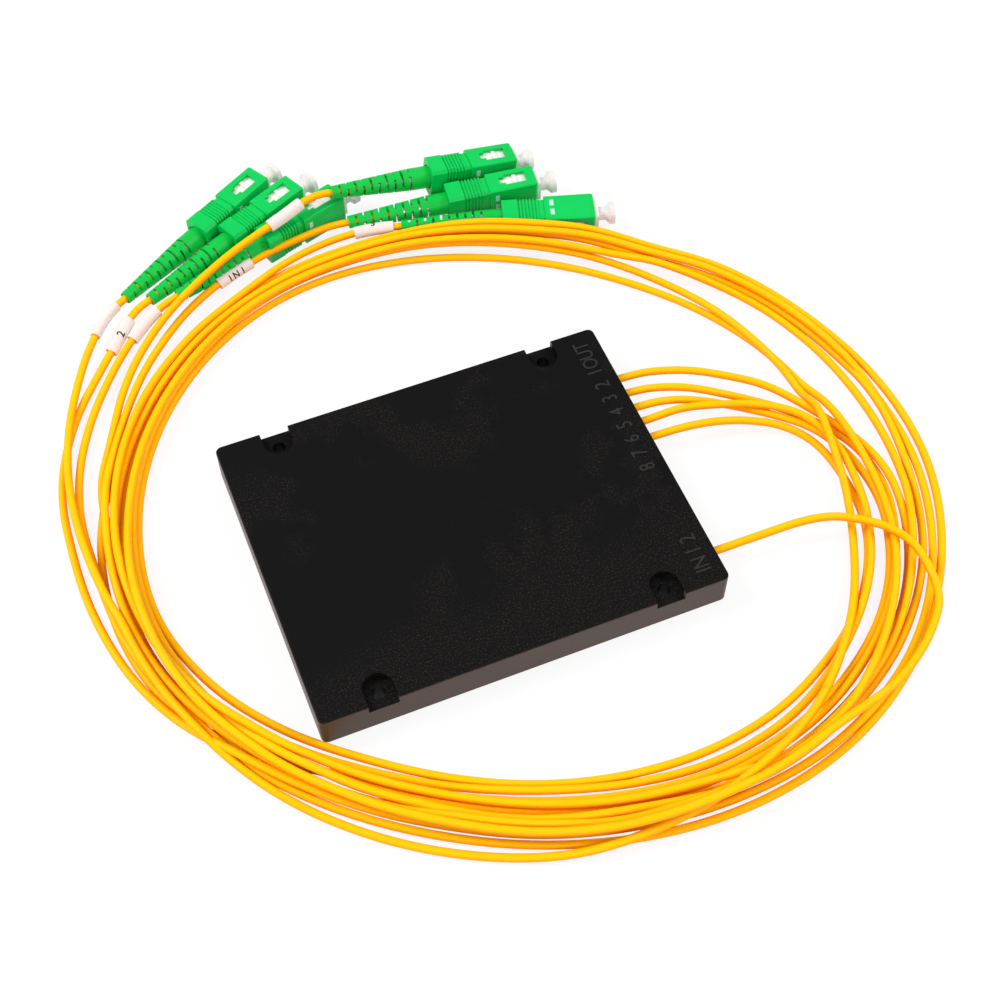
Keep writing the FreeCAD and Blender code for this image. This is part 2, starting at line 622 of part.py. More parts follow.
def make_outer_housing():
    """The sliding grip: a windowed front section, ribbed sides and a chamfered collar."""
    body = new_body("outer_housing")
    sketch = new_sketch(body, "YZ_Plane", "plug_length - front_section")
    add_rectangle(sketch, "housing_width", "housing_height")
    block = pad(body, sketch, "front_section")
    nose = size("plug_length")
    along = size("front_section")
    round_edges(body, block, "housing_edge", lambda edge: abs(edge.Length - along) < 1e-6
                or all(abs(vertex.X - nose) < 1e-6 for vertex in edge.Vertexes))

    sketch = new_sketch(body, "YZ_Plane", REAR)
    add_polygon(sketch, rounded_section("housing_width - 2 * grip_recess",
                                        "housing_height - 2 * grip_recess", "housing_edge"))
    pad(body, sketch, "housing_length - front_section + 0.2")
    sketch = new_sketch(body, "YZ_Plane", REAR)
    add_polygon(sketch, rounded_section("housing_width", "housing_height", "collar_chamfer"))
    pad(body, sketch, "collar_length")
    sketch = new_sketch(body, "YZ_Plane", f"{REAR} + collar_length + rib_pitch - rib_width")
    add_polygon(sketch, rounded_section("housing_width - 2 * rib_drop",
                                        "housing_height - 2 * rib_drop", "housing_edge"))
    rib = pad(body, sketch, "rib_width")
    row_of(body, rib, "X_Axis", "rib_pitch", size("rib_count"))

    sketch = new_sketch(body, "YZ_Plane", "plug_length - key_length")
    add_rectangle(sketch, "key_height + housing_edge", "key_width",
                  "(housing_width + key_height - housing_edge) / 2")
    pad(body, sketch, "key_length - housing_edge")

    sketch = new_sketch(body, "YZ_Plane", "plug_length")
    add_rectangle(sketch, CAVITY_WIDTH, CAVITY_HEIGHT)
    pocket(body, sketch, "housing_length - rear_wall")
    sketch = new_sketch(body, "YZ_Plane", f"{REAR} + rear_wall + 0.1")
    add_circle(sketch, "rear_bore")
    pocket(body, sketch, "rear_wall + 1")

    sketch = new_sketch(body, "XY_Plane")
    start, neck = f"{REAR} + window_start", f"{REAR} + window_start + window_neck"
    end = f"{REAR} + window_start + window_length"
    slim, wide = "neck_width / 2", "window_width / 2"
    add_polygon(sketch, [(start, f"-{slim}"), (neck, f"-{slim}"), (neck, f"-{wide}"),
                         (end, f"-{wide}"), (end, wide), (neck, wide), (neck, slim),
                         (start, slim)])
    pocket(body, sketch, both_ways=True)
    return body


def make_inner_frame():
    """The white frame inside the grip: spring room, ferrule stop, mouth and two latch lugs."""
    body = new_body("inner_frame")
    sketch = new_sketch(body, "YZ_Plane", FRAME_REAR)
    add_polygon(sketch, rounded_section(f"{CAVITY_WIDTH} - 2 * frame_gap",
                                        f"{CAVITY_HEIGHT} - 2 * frame_gap", "0.5"))
    pad(body, sketch, "frame_length")
    sketch = new_sketch(body, "YZ_Plane", f"{REAR} + lug_start")
    add_rectangle(sketch, "window_width - 2 * frame_gap",
                  f"{CAVITY_HEIGHT} - 2 * frame_gap + 2 * lug_height")
    pad(body, sketch, "lug_length")
    sketch = new_sketch(body, "YZ_Plane", FRAME_FRONT)
    add_circle(sketch, "mouth_bore")
    pocket(body, sketch, "frame_mouth")
    sketch = new_sketch(body, "YZ_Plane", FRAME_FRONT)
    add_circle(sketch, "stop_bore")
    pocket(body, sketch, "frame_length")
    sketch = new_sketch(body, "YZ_Plane", STOP_REAR)
    add_circle(sketch, "frame_bore")
    pocket(body, sketch, "frame_length")
    return body


def make_ferrule():
    """A ceramic ferrule with its metal flange and the stem that the spring sits on."""
    body = new_body("ferrule")
    tip, root = f"{FRAME_FRONT} + ferrule_out", f"{STOP_REAR} - flange_length"
    radius, edge = "ferrule_diameter / 2", "ferrule_chamfer"
    revolve(body, [(f"{root} - stem_length", "0"), (tip, "0"), (tip, f"{radius} - {edge}"),
                   (f"{tip} - {edge}", radius), (STOP_REAR, radius),
                   (STOP_REAR, "flange_diameter / 2"), (root, "flange_diameter / 2"),
                   (root, "stem_diameter / 2"), (f"{root} - stem_length", "stem_diameter / 2")])
    return body


def make_back_post():
    """The metal post behind the frame: nose inside it, flange against it, tail for the crimp."""
    body = new_body("back_post")
    seat, flange, tail = FRAME_REAR, f"{FRAME_REAR} - post_flange_length", POST_REAR
    nose, bore = "frame_bore / 2 - post_nose_gap", "post_bore / 2"
    revolve(body, [(tail, bore), (f"{seat} + post_nose", bore), (f"{seat} + post_nose", nose),
                   (seat, nose), (seat, "post_flange / 2"), (flange, "post_flange / 2"),
                   (flange, "post_tail_diameter / 2"), (tail, "post_tail_diameter / 2")])
    return body


def make_crimp_ring():
    """A stepped crimp: a wide part on the post's tail and a neck that grips the jacket."""
    body = new_body("crimp_ring")
    inside, grip = "post_tail_diameter / 2 + crimp_gap", "cable_diameter / 2 + crimp_gap"
    step = f"{CRIMP_REAR} + crimp_step"
    revolve(body, [(NECK_REAR, grip), (CRIMP_REAR, grip), (step, inside), (CRIMP_FRONT, inside),
                   (CRIMP_FRONT, f"{inside} + crimp_wall"), (step, f"{inside} + crimp_wall"),
                   (CRIMP_REAR, f"{grip} + crimp_neck_wall"),
                   (NECK_REAR, f"{grip} + crimp_neck_wall")])
    return body


def make_spring():
    """The coil spring between the post's nose and the ferrule's flange."""
    start = size(f"{FRAME_REAR} + post_nose")
    room = size(f"{STOP_REAR} - flange_length") - start
    wire = size("spring_wire")
    radius = (size("spring_outer") - wire) / 2
    height = room - wire - 0.06
    helix = Part.makeHelix(height / size("spring_turns"), height, radius)
    ring = Part.Wire(Part.Circle(Vector(radius, 0, 0), Vector(0, 1, 0), wire / 2).toShape())
    solid = helix.makePipeShell([ring], True, True)
    lay_down = Placement(Vector(start + wire / 2 + 0.03, 0, 0), Rotation(Vector(0, 1, 0), 90))
    feature = doc.addObject("Part::Feature", "spring")
    feature.Shape = solid.transformed(lay_down.Matrix, True)
    return feature


def make_boot():
    """The tapered strain relief, cut by staggered pairs of slots so that it bends."""
    body = new_body("boot")
    end = "(boot_length + boot_tuck)"
    neck = "cable_diameter / 2 + crimp_gap + crimp_neck_wall + boot_neck_gap"
    socket = "post_tail_diameter / 2 + crimp_gap + crimp_wall + boot_socket_gap"
    low, high = f"{NECK_REAR} - boot_socket_gap", f"{CRIMP_REAR} - boot_socket_gap"
    revolve(body, [("0", "boot_bore / 2"), (low, "boot_bore / 2"), (low, neck), (high, neck),
                   (high, socket), (end, socket), (end, "boot_root / 2"),
                   ("boot_taper", "boot_root / 2"), ("0", "boot_tip / 2")])
    for plane, shift in (("XY_Plane", "0"), ("XZ_Plane", "slot_pitch / 2")):
        sketch = new_sketch(body, plane)
        for side in (-1, 1):
            add_rectangle(sketch, "slot_width", "boot_root", f"slot_first + {shift}",
                          f"{side} * (slot_bridge + boot_root) / 2")
        cut = pocket(body, sketch, both_ways=True)
        row_of(body, cut, "X_Axis", "slot_pitch", size("slot_count"))
    return body


def make_dust_cap():
    """A soft cap: a sleeve on the ferrule and a dished, flared end to pull it off by."""
    body = new_body("dust_cap")
    mouth = f"{FRAME_FRONT} - cap_reach"
    neck = f"{FRAME_FRONT} + cap_stem"
    end = f"{neck} + cap_flange_length"
    bore, sleeve = "ferrule_diameter / 2 + cap_fit", "cap_sleeve / 2"
    floor = f"{FRAME_FRONT} + ferrule_out + cap_end_gap"
    revolve(body, [(floor, "0"), (f"{end} - cap_dish", "0"), (end, "cap_flange / 2 - 0.5"),
                   (end, "cap_flange / 2"), (f"{neck} + 0.3", "cap_flange / 2"),
                   (neck, "cap_flange / 2 - 0.4"), (f"{neck} - 0.8", sleeve), (mouth, sleeve),
                   (mouth, bore), (floor, bore)])
    return body


def plug_place(name):
    """Where a plug's boot tip lies and how the plug is turned."""
    plug = PLUGS[name]
    turn = (Rotation(Vector(0, 0, 1), plug["heading"]) * Rotation(Vector(0, 1, 0), plug["dip"])
            * Rotation(Vector(1, 0, 0), plug["roll"]))
    on_side = abs(plug["roll"]) > 45
    half = size("housing_width / 2 + key_height") if on_side else size("housing_height / 2")
    front = Vector(*plug["front"], half * math.cos(math.radians(plug["dip"])))
    tip = front - turn.multVec(Vector(size("plug_length"), 0, 0))
    return Placement(tip, turn)


def place_copy(kind, original, plug):
    """A linked copy of one plug piece in its plug; the round boot may be turned on its post."""
    copy = doc.addObject("App::Link", f"{kind}_{plug}")
    copy.LinkedObject = original
    copy.Placement = plug_place(plug)
    if kind == "boot":
        turned = Rotation(Vector(1, 0, 0), PLUGS[plug]["boot_turn"])
        copy.Placement = copy.Placement.multiply(Placement(Vector(), turned))
    return copy


def make_plugs():
    """Six plugs from one set of originals; posts and crimp rings share one node each."""
    own_node = {"outer_housing": make_outer_housing(), "inner_frame": make_inner_frame(),
                "ferrule": make_ferrule(), "spring": make_spring(), "boot": make_boot(),
                "dust_cap": make_dust_cap()}
    shared_node = {"back_posts": make_back_post(), "crimp_rings": make_crimp_ring()}
    doc.recompute()
    for plug in PLUGS:
        for kind, original in own_node.items():
            keep(f"{kind}_{plug}", place_copy(kind, original, plug))
    for name, original in shared_node.items():
        copies = []
        for plug in PLUGS:
            shape = original.Shape.copy()
            shape.Placement = plug_place(plug).multiply(shape.Placement)
            copies.append(shape)
        make_feature(name, Part.makeCompound(copies))


# ---------------------------------------------------------------- build, check and write
def check_everything():
    doc.recompute()
    for item in doc.Objects:
        if "Invalid" in item.State or "Error" in item.State:
            raise RuntimeError(f"{item.Label} did not build: {item.State}")
    for name, item in pieces.items():
        shape = item.Shape
        if shape.isNull() or not shape.isValid() or not shape.Solids:
            raise RuntimeError(f"{name} has no sound solid")


def write_everything():
    os.makedirs("parts", exist_ok=True)
    for name, item in pieces.items():
        item.Shape.exportStep(os.path.join("parts", name + ".step"))
    solids = sum(len(item.Shape.Solids) for item in pieces.values())
    print(f"{len(pieces)} nodes, {solids} solids")


import Sketcher

sheet = make_sheet()
make_base_shell()
make_cover()
make_module()
make_fibres_and_anchors()
make_plugs()
make_leads()
make_tails_and_sleeves()
make_coil()
check_everything()
write_everything()
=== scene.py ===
# %% [markdown]
# # A fibre splitter box with six pigtails
#
# A flat black box splits one optical fibre into five. Six thin yellow cords leave its edge, go
# round in one loose coil and end in green push-pull plugs with clear dust caps. The solids come
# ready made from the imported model. This lesson dresses them: the cords are laid anew as smooth
# splines, and every visible piece gets its finish.

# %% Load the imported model
import math
import bpy
import bmesh
from mathutils import Matrix, Vector


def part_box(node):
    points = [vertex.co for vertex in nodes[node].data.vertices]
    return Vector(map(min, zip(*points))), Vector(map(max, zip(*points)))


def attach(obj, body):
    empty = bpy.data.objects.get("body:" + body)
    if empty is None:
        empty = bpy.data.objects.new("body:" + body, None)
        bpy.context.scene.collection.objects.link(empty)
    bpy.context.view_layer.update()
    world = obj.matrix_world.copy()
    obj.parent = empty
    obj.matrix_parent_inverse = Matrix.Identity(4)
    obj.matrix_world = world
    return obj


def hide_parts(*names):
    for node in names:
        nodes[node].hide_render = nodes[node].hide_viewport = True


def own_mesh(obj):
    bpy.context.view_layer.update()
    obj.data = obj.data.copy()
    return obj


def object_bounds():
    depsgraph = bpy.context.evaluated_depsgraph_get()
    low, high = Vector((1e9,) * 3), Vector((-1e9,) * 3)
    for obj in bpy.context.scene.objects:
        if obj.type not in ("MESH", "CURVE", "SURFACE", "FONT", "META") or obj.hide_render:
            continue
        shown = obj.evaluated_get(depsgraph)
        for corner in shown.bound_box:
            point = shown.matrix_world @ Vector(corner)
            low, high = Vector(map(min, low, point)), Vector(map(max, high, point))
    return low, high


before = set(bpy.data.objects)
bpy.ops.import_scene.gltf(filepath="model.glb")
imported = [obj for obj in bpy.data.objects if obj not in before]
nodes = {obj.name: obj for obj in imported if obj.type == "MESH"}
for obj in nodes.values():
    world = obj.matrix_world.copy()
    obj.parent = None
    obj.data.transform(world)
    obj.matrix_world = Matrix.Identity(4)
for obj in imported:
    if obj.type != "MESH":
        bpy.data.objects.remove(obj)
cad_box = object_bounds()
MM = 0.001
CORD_NAMES = ("out_1", "out_2", "out_3", "out_4", "in_1", "out_5")

# %% [markdown]
# ## The camera
#
# The object is seen from the front and rather high up, slightly from the left, so that the
# box's top, its front wall and the whole coil show. A 60 mm lens keeps the coil's far side only
# a little smaller than its near side. The camera comes first, because the cords are judged
# through it.

# %% Set the camera
lens = bpy.data.cameras.new("camera")
lens.lens = 60.0
lens.sensor_width = 36.0
lens.clip_start, lens.clip_end = 0.01, 20.0
camera = bpy.data.objects.new("camera", lens)
camera.location = (-0.0720, -0.2031, 0.3404)
camera.rotation_euler = [math.radians(angle) for angle in (33.465, 0.23, -22.02)]
bpy.context.scene.collection.objects.link(camera)
bpy.context.scene.camera = camera
print("the camera is", round(camera.location.length, 3), "m from the middle of the box")

# %% [markdown]
# ## Where each cord goes
#
# A cord is 2 mm of stiff yellow jacket. It runs straight out of its port, swings down to the
# table, goes round the coil a little over one and a half times, and climbs into the boot of its
# plug. The points below are the control points of its spline, in millimetres. The ways out of
# the box and into the boots follow the part's own, with points moved and added. The
# turns are given as distances from the coil's middle, read against the angle that the cord has
# turned through.

# %% The plugs and the ways between ports, coil and boots
PLUG_LENGTH = 52.5
MIDDLE_HIGH, MIDDLE_HIGH_ON_SIDE = 4.5, 4.2
CORD_IN_PLUG = (-6.0, 2.0, 14.0)  # places of a cord's last points on the plug's axis
HELD_AT_PORT = 3  # the first points of a lead, which do not rise
PLUGS = {  # the middle of the front face, the way it points, how far it dips and rolls
    "out_1": ((-11.9, 125.6), 30.0, 0.0, 0.0),
    "out_2": ((-3.9, 118.6), 25.0, 0.0, 0.0),
    "out_3": ((5.6, 111.0), 18.0, 0.0, 0.0),
    "out_4": ((55.3, 106.6), -1.5, 8.0, 0.0),
    "in_1": ((57.9, 96.2), -7.0, 0.0, 0.0),
    "out_5": ((68.8, 80.5), -17.2, 0.0, -90.0),
}
LEADS = {
    "out_1": [(43.4, 25.8, 5.0), (55.5, 25.8, 5.0), (63.0, 24.2, 4.8), (70.5, 21.3, 4.4),
        (78.0, 16.6, 4.0), (84.7, 11.8, 3.4), (89.4, 5.8, 2.8)],
    "out_2": [(43.4, 20.9, 5.0), (54.0, 20.9, 5.0), (60.5, 19.5, 4.8), (67.5, 16.6, 4.4),
        (75.0, 11.6, 3.8), (83.0, 5.8, 3.0), (90.4, -0.6, 2.4)],
    "out_3": [(43.4, 16.0, 5.0), (54.0, 16.0, 5.0), (61.5, 14.9, 4.8), (68.5, 11.8, 4.2),
        (75.5, 7.2, 3.4), (83.0, 1.4, 2.6), (90.6, -5.0, 2.0)],
    "out_4": [(43.4, 11.1, 5.0), (54.5, 11.1, 5.4), (62.0, 10.8, 6.2), (70.0, 8.4, 6.3),
        (78.0, 5.6, 5.8), (85.5, 1.4, 5.0), (91.0, -4.4, 4.2)],
    "in_1": [(43.4, -29.6, 5.0), (56.0, -29.6, 5.0), (65.0, -29.8, 5.2), (74.0, -30.2, 5.6),
        (81.4, -31.8, 6.0), (87.0, -35.4, 6.4), (91.6, -39.4, 6.6), (95.0, -44.6, 6.6)],
    "out_5": [(43.4, 6.2, 5.0), (54.0, 6.2, 5.0), (61.5, 5.9, 4.8), (69.0, 4.8, 4.2),
        (76.5, 2.6, 3.2), (83.6, -0.8, 2.0), (88.8, -6.4, 1.4)],
}
TAILS = {
    "out_1": [(-85.4, 13.0, 1.3), (-86.8, 30.3, 1.1), (-85.8, 47.8, 1.1), (-81.5, 65.0, 1.1),
        (-74.6, 80.3, 1.2), (-68.7, 89.8, 2.6)],
    "out_2": [(-89.7, 29.0, 1.2), (-88.8, 44.0, 1.1), (-85.2, 56.6, 1.1), (-78.4, 69.5, 1.1),
        (-69.2, 80.4, 1.2), (-62.1, 87.9, 2.6)],
    "out_3": [(-85.7, 20.0, 1.3), (-85.8, 37.4, 1.3), (-82.5, 52.2, 1.1), (-75.9, 66.2, 1.1),
        (-66.5, 79.1, 1.2), (-58.2, 87.3, 2.4)],
    "out_4": [(-79.7, 42.6, 2.2), (-72.6, 57.5, 1.6), (-65.6, 72.4, 1.3), (-56.4, 83.4, 2.0),
        (-46.4, 91.0, 4.6), (-36.6, 96.1, 6.9), (-29.4, 99.2, 8.0), (-21.6, 101.8, 9.3),
        (-12.0, 104.2, 10.6)],
    "in_1": [(-68.0, 62.3, 1.8), (-59.6, 75.6, 1.3), (-48.8, 86.6, 1.5), (-39.8, 92.8, 2.2),
        (-30.2, 96.8, 3.4), (-20.0, 99.6, 4.6), (-9.6, 101.4, 5.2)],
    "out_5": [(-23.8, 92.6, 1.1), (-14.4, 96.6, 1.1), (-4.0, 99.3, 1.3), (5.0, 99.5, 2.2)],
}


def plug_place(cord):
    """The plug's own frame: X along it from the tip of its boot, Z up before it dips and rolls."""
    (x, y), heading, dip, roll = PLUGS[cord]
    half = MIDDLE_HIGH_ON_SIDE if roll else MIDDLE_HIGH * math.cos(math.radians(dip))
    turn = (Matrix.Rotation(math.radians(heading), 4, "Z")
            @ Matrix.Rotation(math.radians(dip), 4, "Y")
            @ Matrix.Rotation(math.radians(roll), 4, "X"))
    tip = Vector((x, y, half)) - turn.to_3x3() @ Vector((PLUG_LENGTH, 0, 0))
    return Matrix.Translation(tip * MM) @ turn


for cord in CORD_NAMES:
    print(cord, "boot tip at", [round(v / MM, 1) for v in plug_place(cord).translation])

# %% The turns: angle turned (degrees), distance from the middle, least height (millimetres)
COIL_MIDDLE = (9.0, 5.0)
FULL_TURN = 360.0
TURNS = {
    "out_1": [(-8, 88.4, 0), (-14, 94.6, 0), (-20, 98.4, 0), (-26, 99.8, 0), (-33, 100.3, 0),
        (-45, 99.3, 0), (-60, 95.6, 0), (-75, 91.0, 0), (-90, 86.2, 0), (-105, 82.7, 0),
        (-120, 81.2, 0), (-135, 81.0, 0), (-150, 82.4, 0), (-165, 84.2, 0), (-180, 86.2, 0),
        (-195, 87.1, 0), (-210, 87.7, 0), (-225, 88.0, 0), (-240, 88.2, 0), (-255, 88.0, 1),
        (-270, 85.3, 2.8), (-285, 82.3, 4.6), (-298, 81.2, 4.4), (-310, 81.7, 3.4),
        (-320, 82.3, 2.4), (-330, 82.8, 1.4), (-345, 83.4, 0), (-360, 84.8, 0), (-370, 84.2, 0),
        (-380, 85.6, 0), (-390, 87.0, 0), (-400, 88.6, 0), (-410, 90.2, 0), (-420, 91.9, 0),
        (-430, 92.9, 0), (-440, 93.0, 0), (-450, 92.4, 0), (-460, 92.0, 0), (-470, 90.8, 0),
        (-480, 89.9, 0), (-495, 89.3, 0), (-510, 89.7, 0), (-525, 90.7, 0), (-540, 92.5, 0)],
    "out_2": [(-10, 90.2, 0), (-15, 93.9, 0), (-20, 96.0, 0), (-30, 97.0, 0), (-40, 96.9, 0),
        (-48, 95.9, 0), (-60, 93.3, 0), (-75, 88.9, 0), (-90, 84.2, 0), (-105, 80.7, 0),
        (-120, 79.0, 0), (-135, 79.9, 0), (-150, 83.4, 0), (-165, 87.5, 0), (-180, 90.0, 0),
        (-195, 91.1, 0), (-210, 91.6, 0), (-225, 91.6, 0), (-240, 91.2, 0), (-255, 89.6, 3),
        (-270, 86.8, 4.8), (-285, 84.2, 7.4), (-298, 83.1, 8.8), (-310, 84.9, 7.8),
        (-320, 86.4, 5.8), (-330, 91.6, 4.2), (-340, 95.8, 3), (-350, 99.0, 1.6),
        (-360, 101.6, 0), (-375, 105.2, 0), (-390, 105.9, 0), (-405, 104.7, 0), (-420, 100.5, 0),
        (-435, 94.6, 0), (-450, 89.6, 0), (-465, 86.1, 0), (-480, 83.9, 0), (-495, 84.6, 0),
        (-510, 87.5, 0), (-520, 91.2, 0), (-530, 94.6, 0), (-540, 97.4, 0), (-548, 99.8, 0)],
    "out_3": [(-12, 88.2, 0), (-20, 93.8, 0), (-30, 95.8, 0), (-38, 96.0, 0), (-45, 95.1, 0),
        (-60, 91.6, 0), (-75, 86.9, 0), (-90, 82.0, 0), (-105, 78.4, 0), (-120, 77.0, 0),
        (-135, 78.3, 0), (-150, 84.5, 0), (-165, 91.0, 0), (-180, 94.0, 0), (-195, 95.0, 0),
        (-210, 94.4, 0), (-225, 93.6, 0), (-240, 93.5, 0), (-255, 92.8, 1.2), (-270, 89.8, 2.6),
        (-285, 86.5, 7), (-298, 85.2, 9.2), (-310, 87.4, 7.6), (-320, 89.3, 5.4),
        (-330, 94.8, 3.2), (-340, 98.8, 1.4), (-350, 102.0, 0), (-360, 105.0, 0),
        (-375, 108.1, 0), (-390, 108.1, 0), (-405, 106.0, 0), (-420, 102.4, 0), (-435, 97.4, 0),
        (-450, 92.4, 0), (-465, 88.5, 0), (-480, 86.4, 0), (-495, 86.4, 0), (-510, 87.9, 0),
        (-520, 88.9, 0), (-530, 91.2, 0), (-540, 94.0, 0)],
    "out_4": [(-12, 86.2, 0), (-20, 89.2, 0), (-30, 91.0, 0), (-38, 91.2, 0), (-45, 90.6, 0),
        (-60, 88.8, 0), (-75, 84.7, 0), (-90, 79.6, 0), (-105, 76.2, 0), (-120, 75.0, 0),
        (-135, 76.0, 0), (-150, 79.6, 0), (-165, 84.2, 0), (-180, 88.0, 0), (-195, 89.7, 0),
        (-210, 90.6, 0), (-225, 91.0, 0), (-240, 91.0, 0), (-255, 90.4, 1), (-270, 87.6, 2.8),
        (-285, 85.0, 5.4), (-298, 83.9, 6.6), (-310, 84.9, 6), (-320, 85.9, 4.4),
        (-330, 91.0, 2.4), (-340, 95.4, 1.2), (-350, 98.3, 0), (-360, 100.8, 0), (-375, 102.7, 0),
        (-390, 103.7, 0), (-405, 101.5, 0), (-420, 97.4, 0), (-435, 93.0, 0), (-450, 86.7, 0),
        (-465, 83.6, 0), (-480, 81.4, 0), (-495, 81.6, 0), (-510, 83.3, 0), (-525, 85.7, 0),
        (-540, 88.0, 0), (-550, 90.4, 0)],
    "in_1": [(-32.6, 103.0, 6.4), (-36, 107.0, 6.2), (-40, 108.0, 6), (-45, 106.6, 6),
        (-50, 105.2, 6), (-55, 102.2, 6), (-60, 98.8, 6), (-70, 96.2, 7), (-80, 93.8, 7),
        (-90, 91.0, 6), (-105, 87.4, 5.5), (-120, 84.8, 5), (-135, 84.1, 0), (-150, 85.2, 0),
        (-165, 87.0, 0), (-180, 87.4, 0), (-195, 87.8, 0), (-210, 88.0, 0), (-225, 87.9, 0),
        (-240, 87.7, 0), (-255, 87.0, 3.2), (-270, 84.4, 4.8), (-285, 82.0, 6.6),
        (-298, 81.5, 6.4), (-310, 82.2, 5.6), (-320, 84.4, 3.6), (-330, 88.8, 2),
        (-340, 93.2, 1.2), (-350, 95.8, 0), (-360, 97.8, 0), (-375, 100.3, 0), (-390, 100.9, 0),
        (-405, 99.8, 0), (-420, 96.5, 0), (-435, 92.9, 0), (-450, 88.9, 0), (-465, 85.2, 0),
        (-480, 83.0, 0), (-495, 83.4, 0), (-510, 85.2, 0), (-525, 88.4, 0), (-540, 91.0, 0),
        (-555, 92.8, 0), (-566, 94.7, 0)],
    "out_5": [(-12, 83.9, 0), (-20, 88.0, 0), (-26, 90.2, 0), (-32, 90.8, 0), (-39, 90.6, 0),
        (-46, 89.3, 0), (-53, 87.5, 0), (-62, 85.4, 0), (-75, 81.6, 0), (-90, 77.4, 0),
        (-105, 74.4, 0), (-120, 72.8, 0), (-135, 73.3, 0), (-150, 76.7, 0), (-165, 81.0, 0),
        (-180, 84.7, 0), (-195, 86.0, 0), (-210, 86.8, 0), (-225, 87.2, 0), (-240, 87.1, 0),
        (-252, 86.2, 0), (-262, 84.6, 0), (-275, 82.0, 0), (-290, 79.6, 0), (-305, 78.6, 0),
        (-320, 79.2, 0), (-335, 81.8, 0), (-348, 84.6, 0), (-360, 87.2, 0), (-370, 89.6, 0),
        (-380, 93.6, 0), (-390, 96.4, 0), (-400, 97.6, 0), (-410, 97.8, 0), (-420, 97.6, 0),
        (-430, 94.6, 0), (-440, 88.4, 0), (-450, 84.0, 0), (-465, 79.8, 0), (-480, 77.8, 0),
        (-495, 78.6, 0), (-510, 81.6, 0), (-525, 85.6, 0), (-540, 88.4, 0), (-555, 90.8, 0),
        (-570, 92.6, 0), (-585, 93.6, 0), (-598, 93.8, 0)],
}
print("turns:", {cord: round(-TURNS[cord][-1][0] / FULL_TURN, 2) for cord in CORD_NAMES})

# %% [markdown]
# ## Laying the cords
#
# A hand lays the cords one turn after another, and each rests on what is there already. A
# physics run could settle them, but it would lose the places that make this coil look as it
# does. So a small rule lays them: the turns come in order, and each control point rises from
# its least height until the cord clears the ones round it. Along the cord the height changes
# slowly, because the jacket is stiff, so a cord passes over another in a long low hump.

# %% Find the turn's points, and how high each one lies
THICK = 2.0
CLEAR = THICK + 0.02
TURN_STEP = 5.0
STEEPEST = 0.2
ON_TABLE = 1.02
LOOKS_HALF_WAY = 5
LIFTS, EASINGS = 12, 2
ORDER = (("out_5", 1), ("out_3", 1), ("out_4", 1), ("out_2", 1), ("out_1", 1), ("out_3", 2),
         ("out_2", 2), ("out_4", 2), ("in_1", 2), ("out_5", 2), ("out_1", 2), ("in_1", 1))


def between(pairs, at):
    """The value at a place between given pairs, on a curve that passes them smoothly."""
    k = max(i for i in range(len(pairs) - 1) if pairs[i][0] >= at or i == 0)
    (a, low), (b, high) = pairs[k], pairs[k + 1]

    def slope(i):
        before, after = pairs[max(i - 1, 0)], pairs[min(i + 1, len(pairs) - 1)]
        return (after[1] - before[1]) / (after[0] - before[0])
    t = (at - a) / (b - a)
    return (low * (1 + 2 * t) * (1 - t) ** 2 + high * t * t * (3 - 2 * t)
            + (b - a) * (slope(k) * t * (1 - t) ** 2 - slope(k + 1) * t * t * (1 - t)))


def turn_points(cord):
    """The coil's control points: one every few degrees of turn."""
    turns, points = TURNS[cord], []
    count = round((turns[0][0] - turns[-1][0]) / TURN_STEP)
    for i in range(count + 1):
        angle = turns[0][0] + (turns[-1][0] - turns[0][0]) * i / count
        distance = between([(a, r) for a, r, _ in turns], angle)
        height = between([(a, h) for a, _, h in turns], angle)
        points.append((angle, Vector((COIL_MIDDLE[0] + distance * math.cos(math.radians(angle)),
                                      COIL_MIDDLE[1] + distance * math.sin(math.radians(angle)),
                                      height))))
    return points


def whole_way(cord):
    """Every control point of a cord, with the angle it has turned and whether it may rise."""
    turns = turn_points(cord)
    place = plug_place(cord)
    first, last = turns[0][0], turns[-1][0]
    way = [(first, Vector(p), i >= HELD_AT_PORT) for i, p in enumerate(LEADS[cord])]
    way += [(a, p, True) for a, p in turns]
    way += [(last, Vector(p), True) for p in TAILS[cord]]
    way += [(last, (place @ Vector((s * MM, 0, 0))) / MM, False) for s in CORD_IN_PLUG]
    return way


def samples(points):
    """Places about a millimetre apart along the runs between the points."""
    found = []
    for here, there in zip(points, points[1:]):
        count = max(1, int((there - here).length))
        found += [here.lerp(there, i / count) for i in range(count)]
    return found + [points[-1]]


class Pile:
    """What has been laid so far, sorted into squares so that neighbours are quick to find."""
    SQUARE = 3.0

    def __init__(self):
        self.squares = {}

    def key(self, p):
        return int(p.x // self.SQUARE), int(p.y // self.SQUARE)

    def add(self, points):
        for p in points:
            self.squares.setdefault(self.key(p), []).append(p)

    def rest(self, p):
        """The lowest height, from its own upwards, at which a cord here touches no other."""
        kx, ky = self.key(p)
        near = []
        for ix in (kx - 1, kx, kx + 1):
            for iy in (ky - 1, ky, ky + 1):
                for q in self.squares.get((ix, iy), ()):
                    apart = (p.x - q.x) ** 2 + (p.y - q.y) ** 2
                    if apart < CLEAR * CLEAR:
                        near.append((q.z, math.sqrt(CLEAR * CLEAR - apart)))
        height = max(p.z, ON_TABLE)
        for _ in range(LIFTS):
            blocked = [z + gap for z, gap in near if abs(height - z) < gap - 1e-6]
            if not blocked:
                break
            height = max(blocked)
        return height


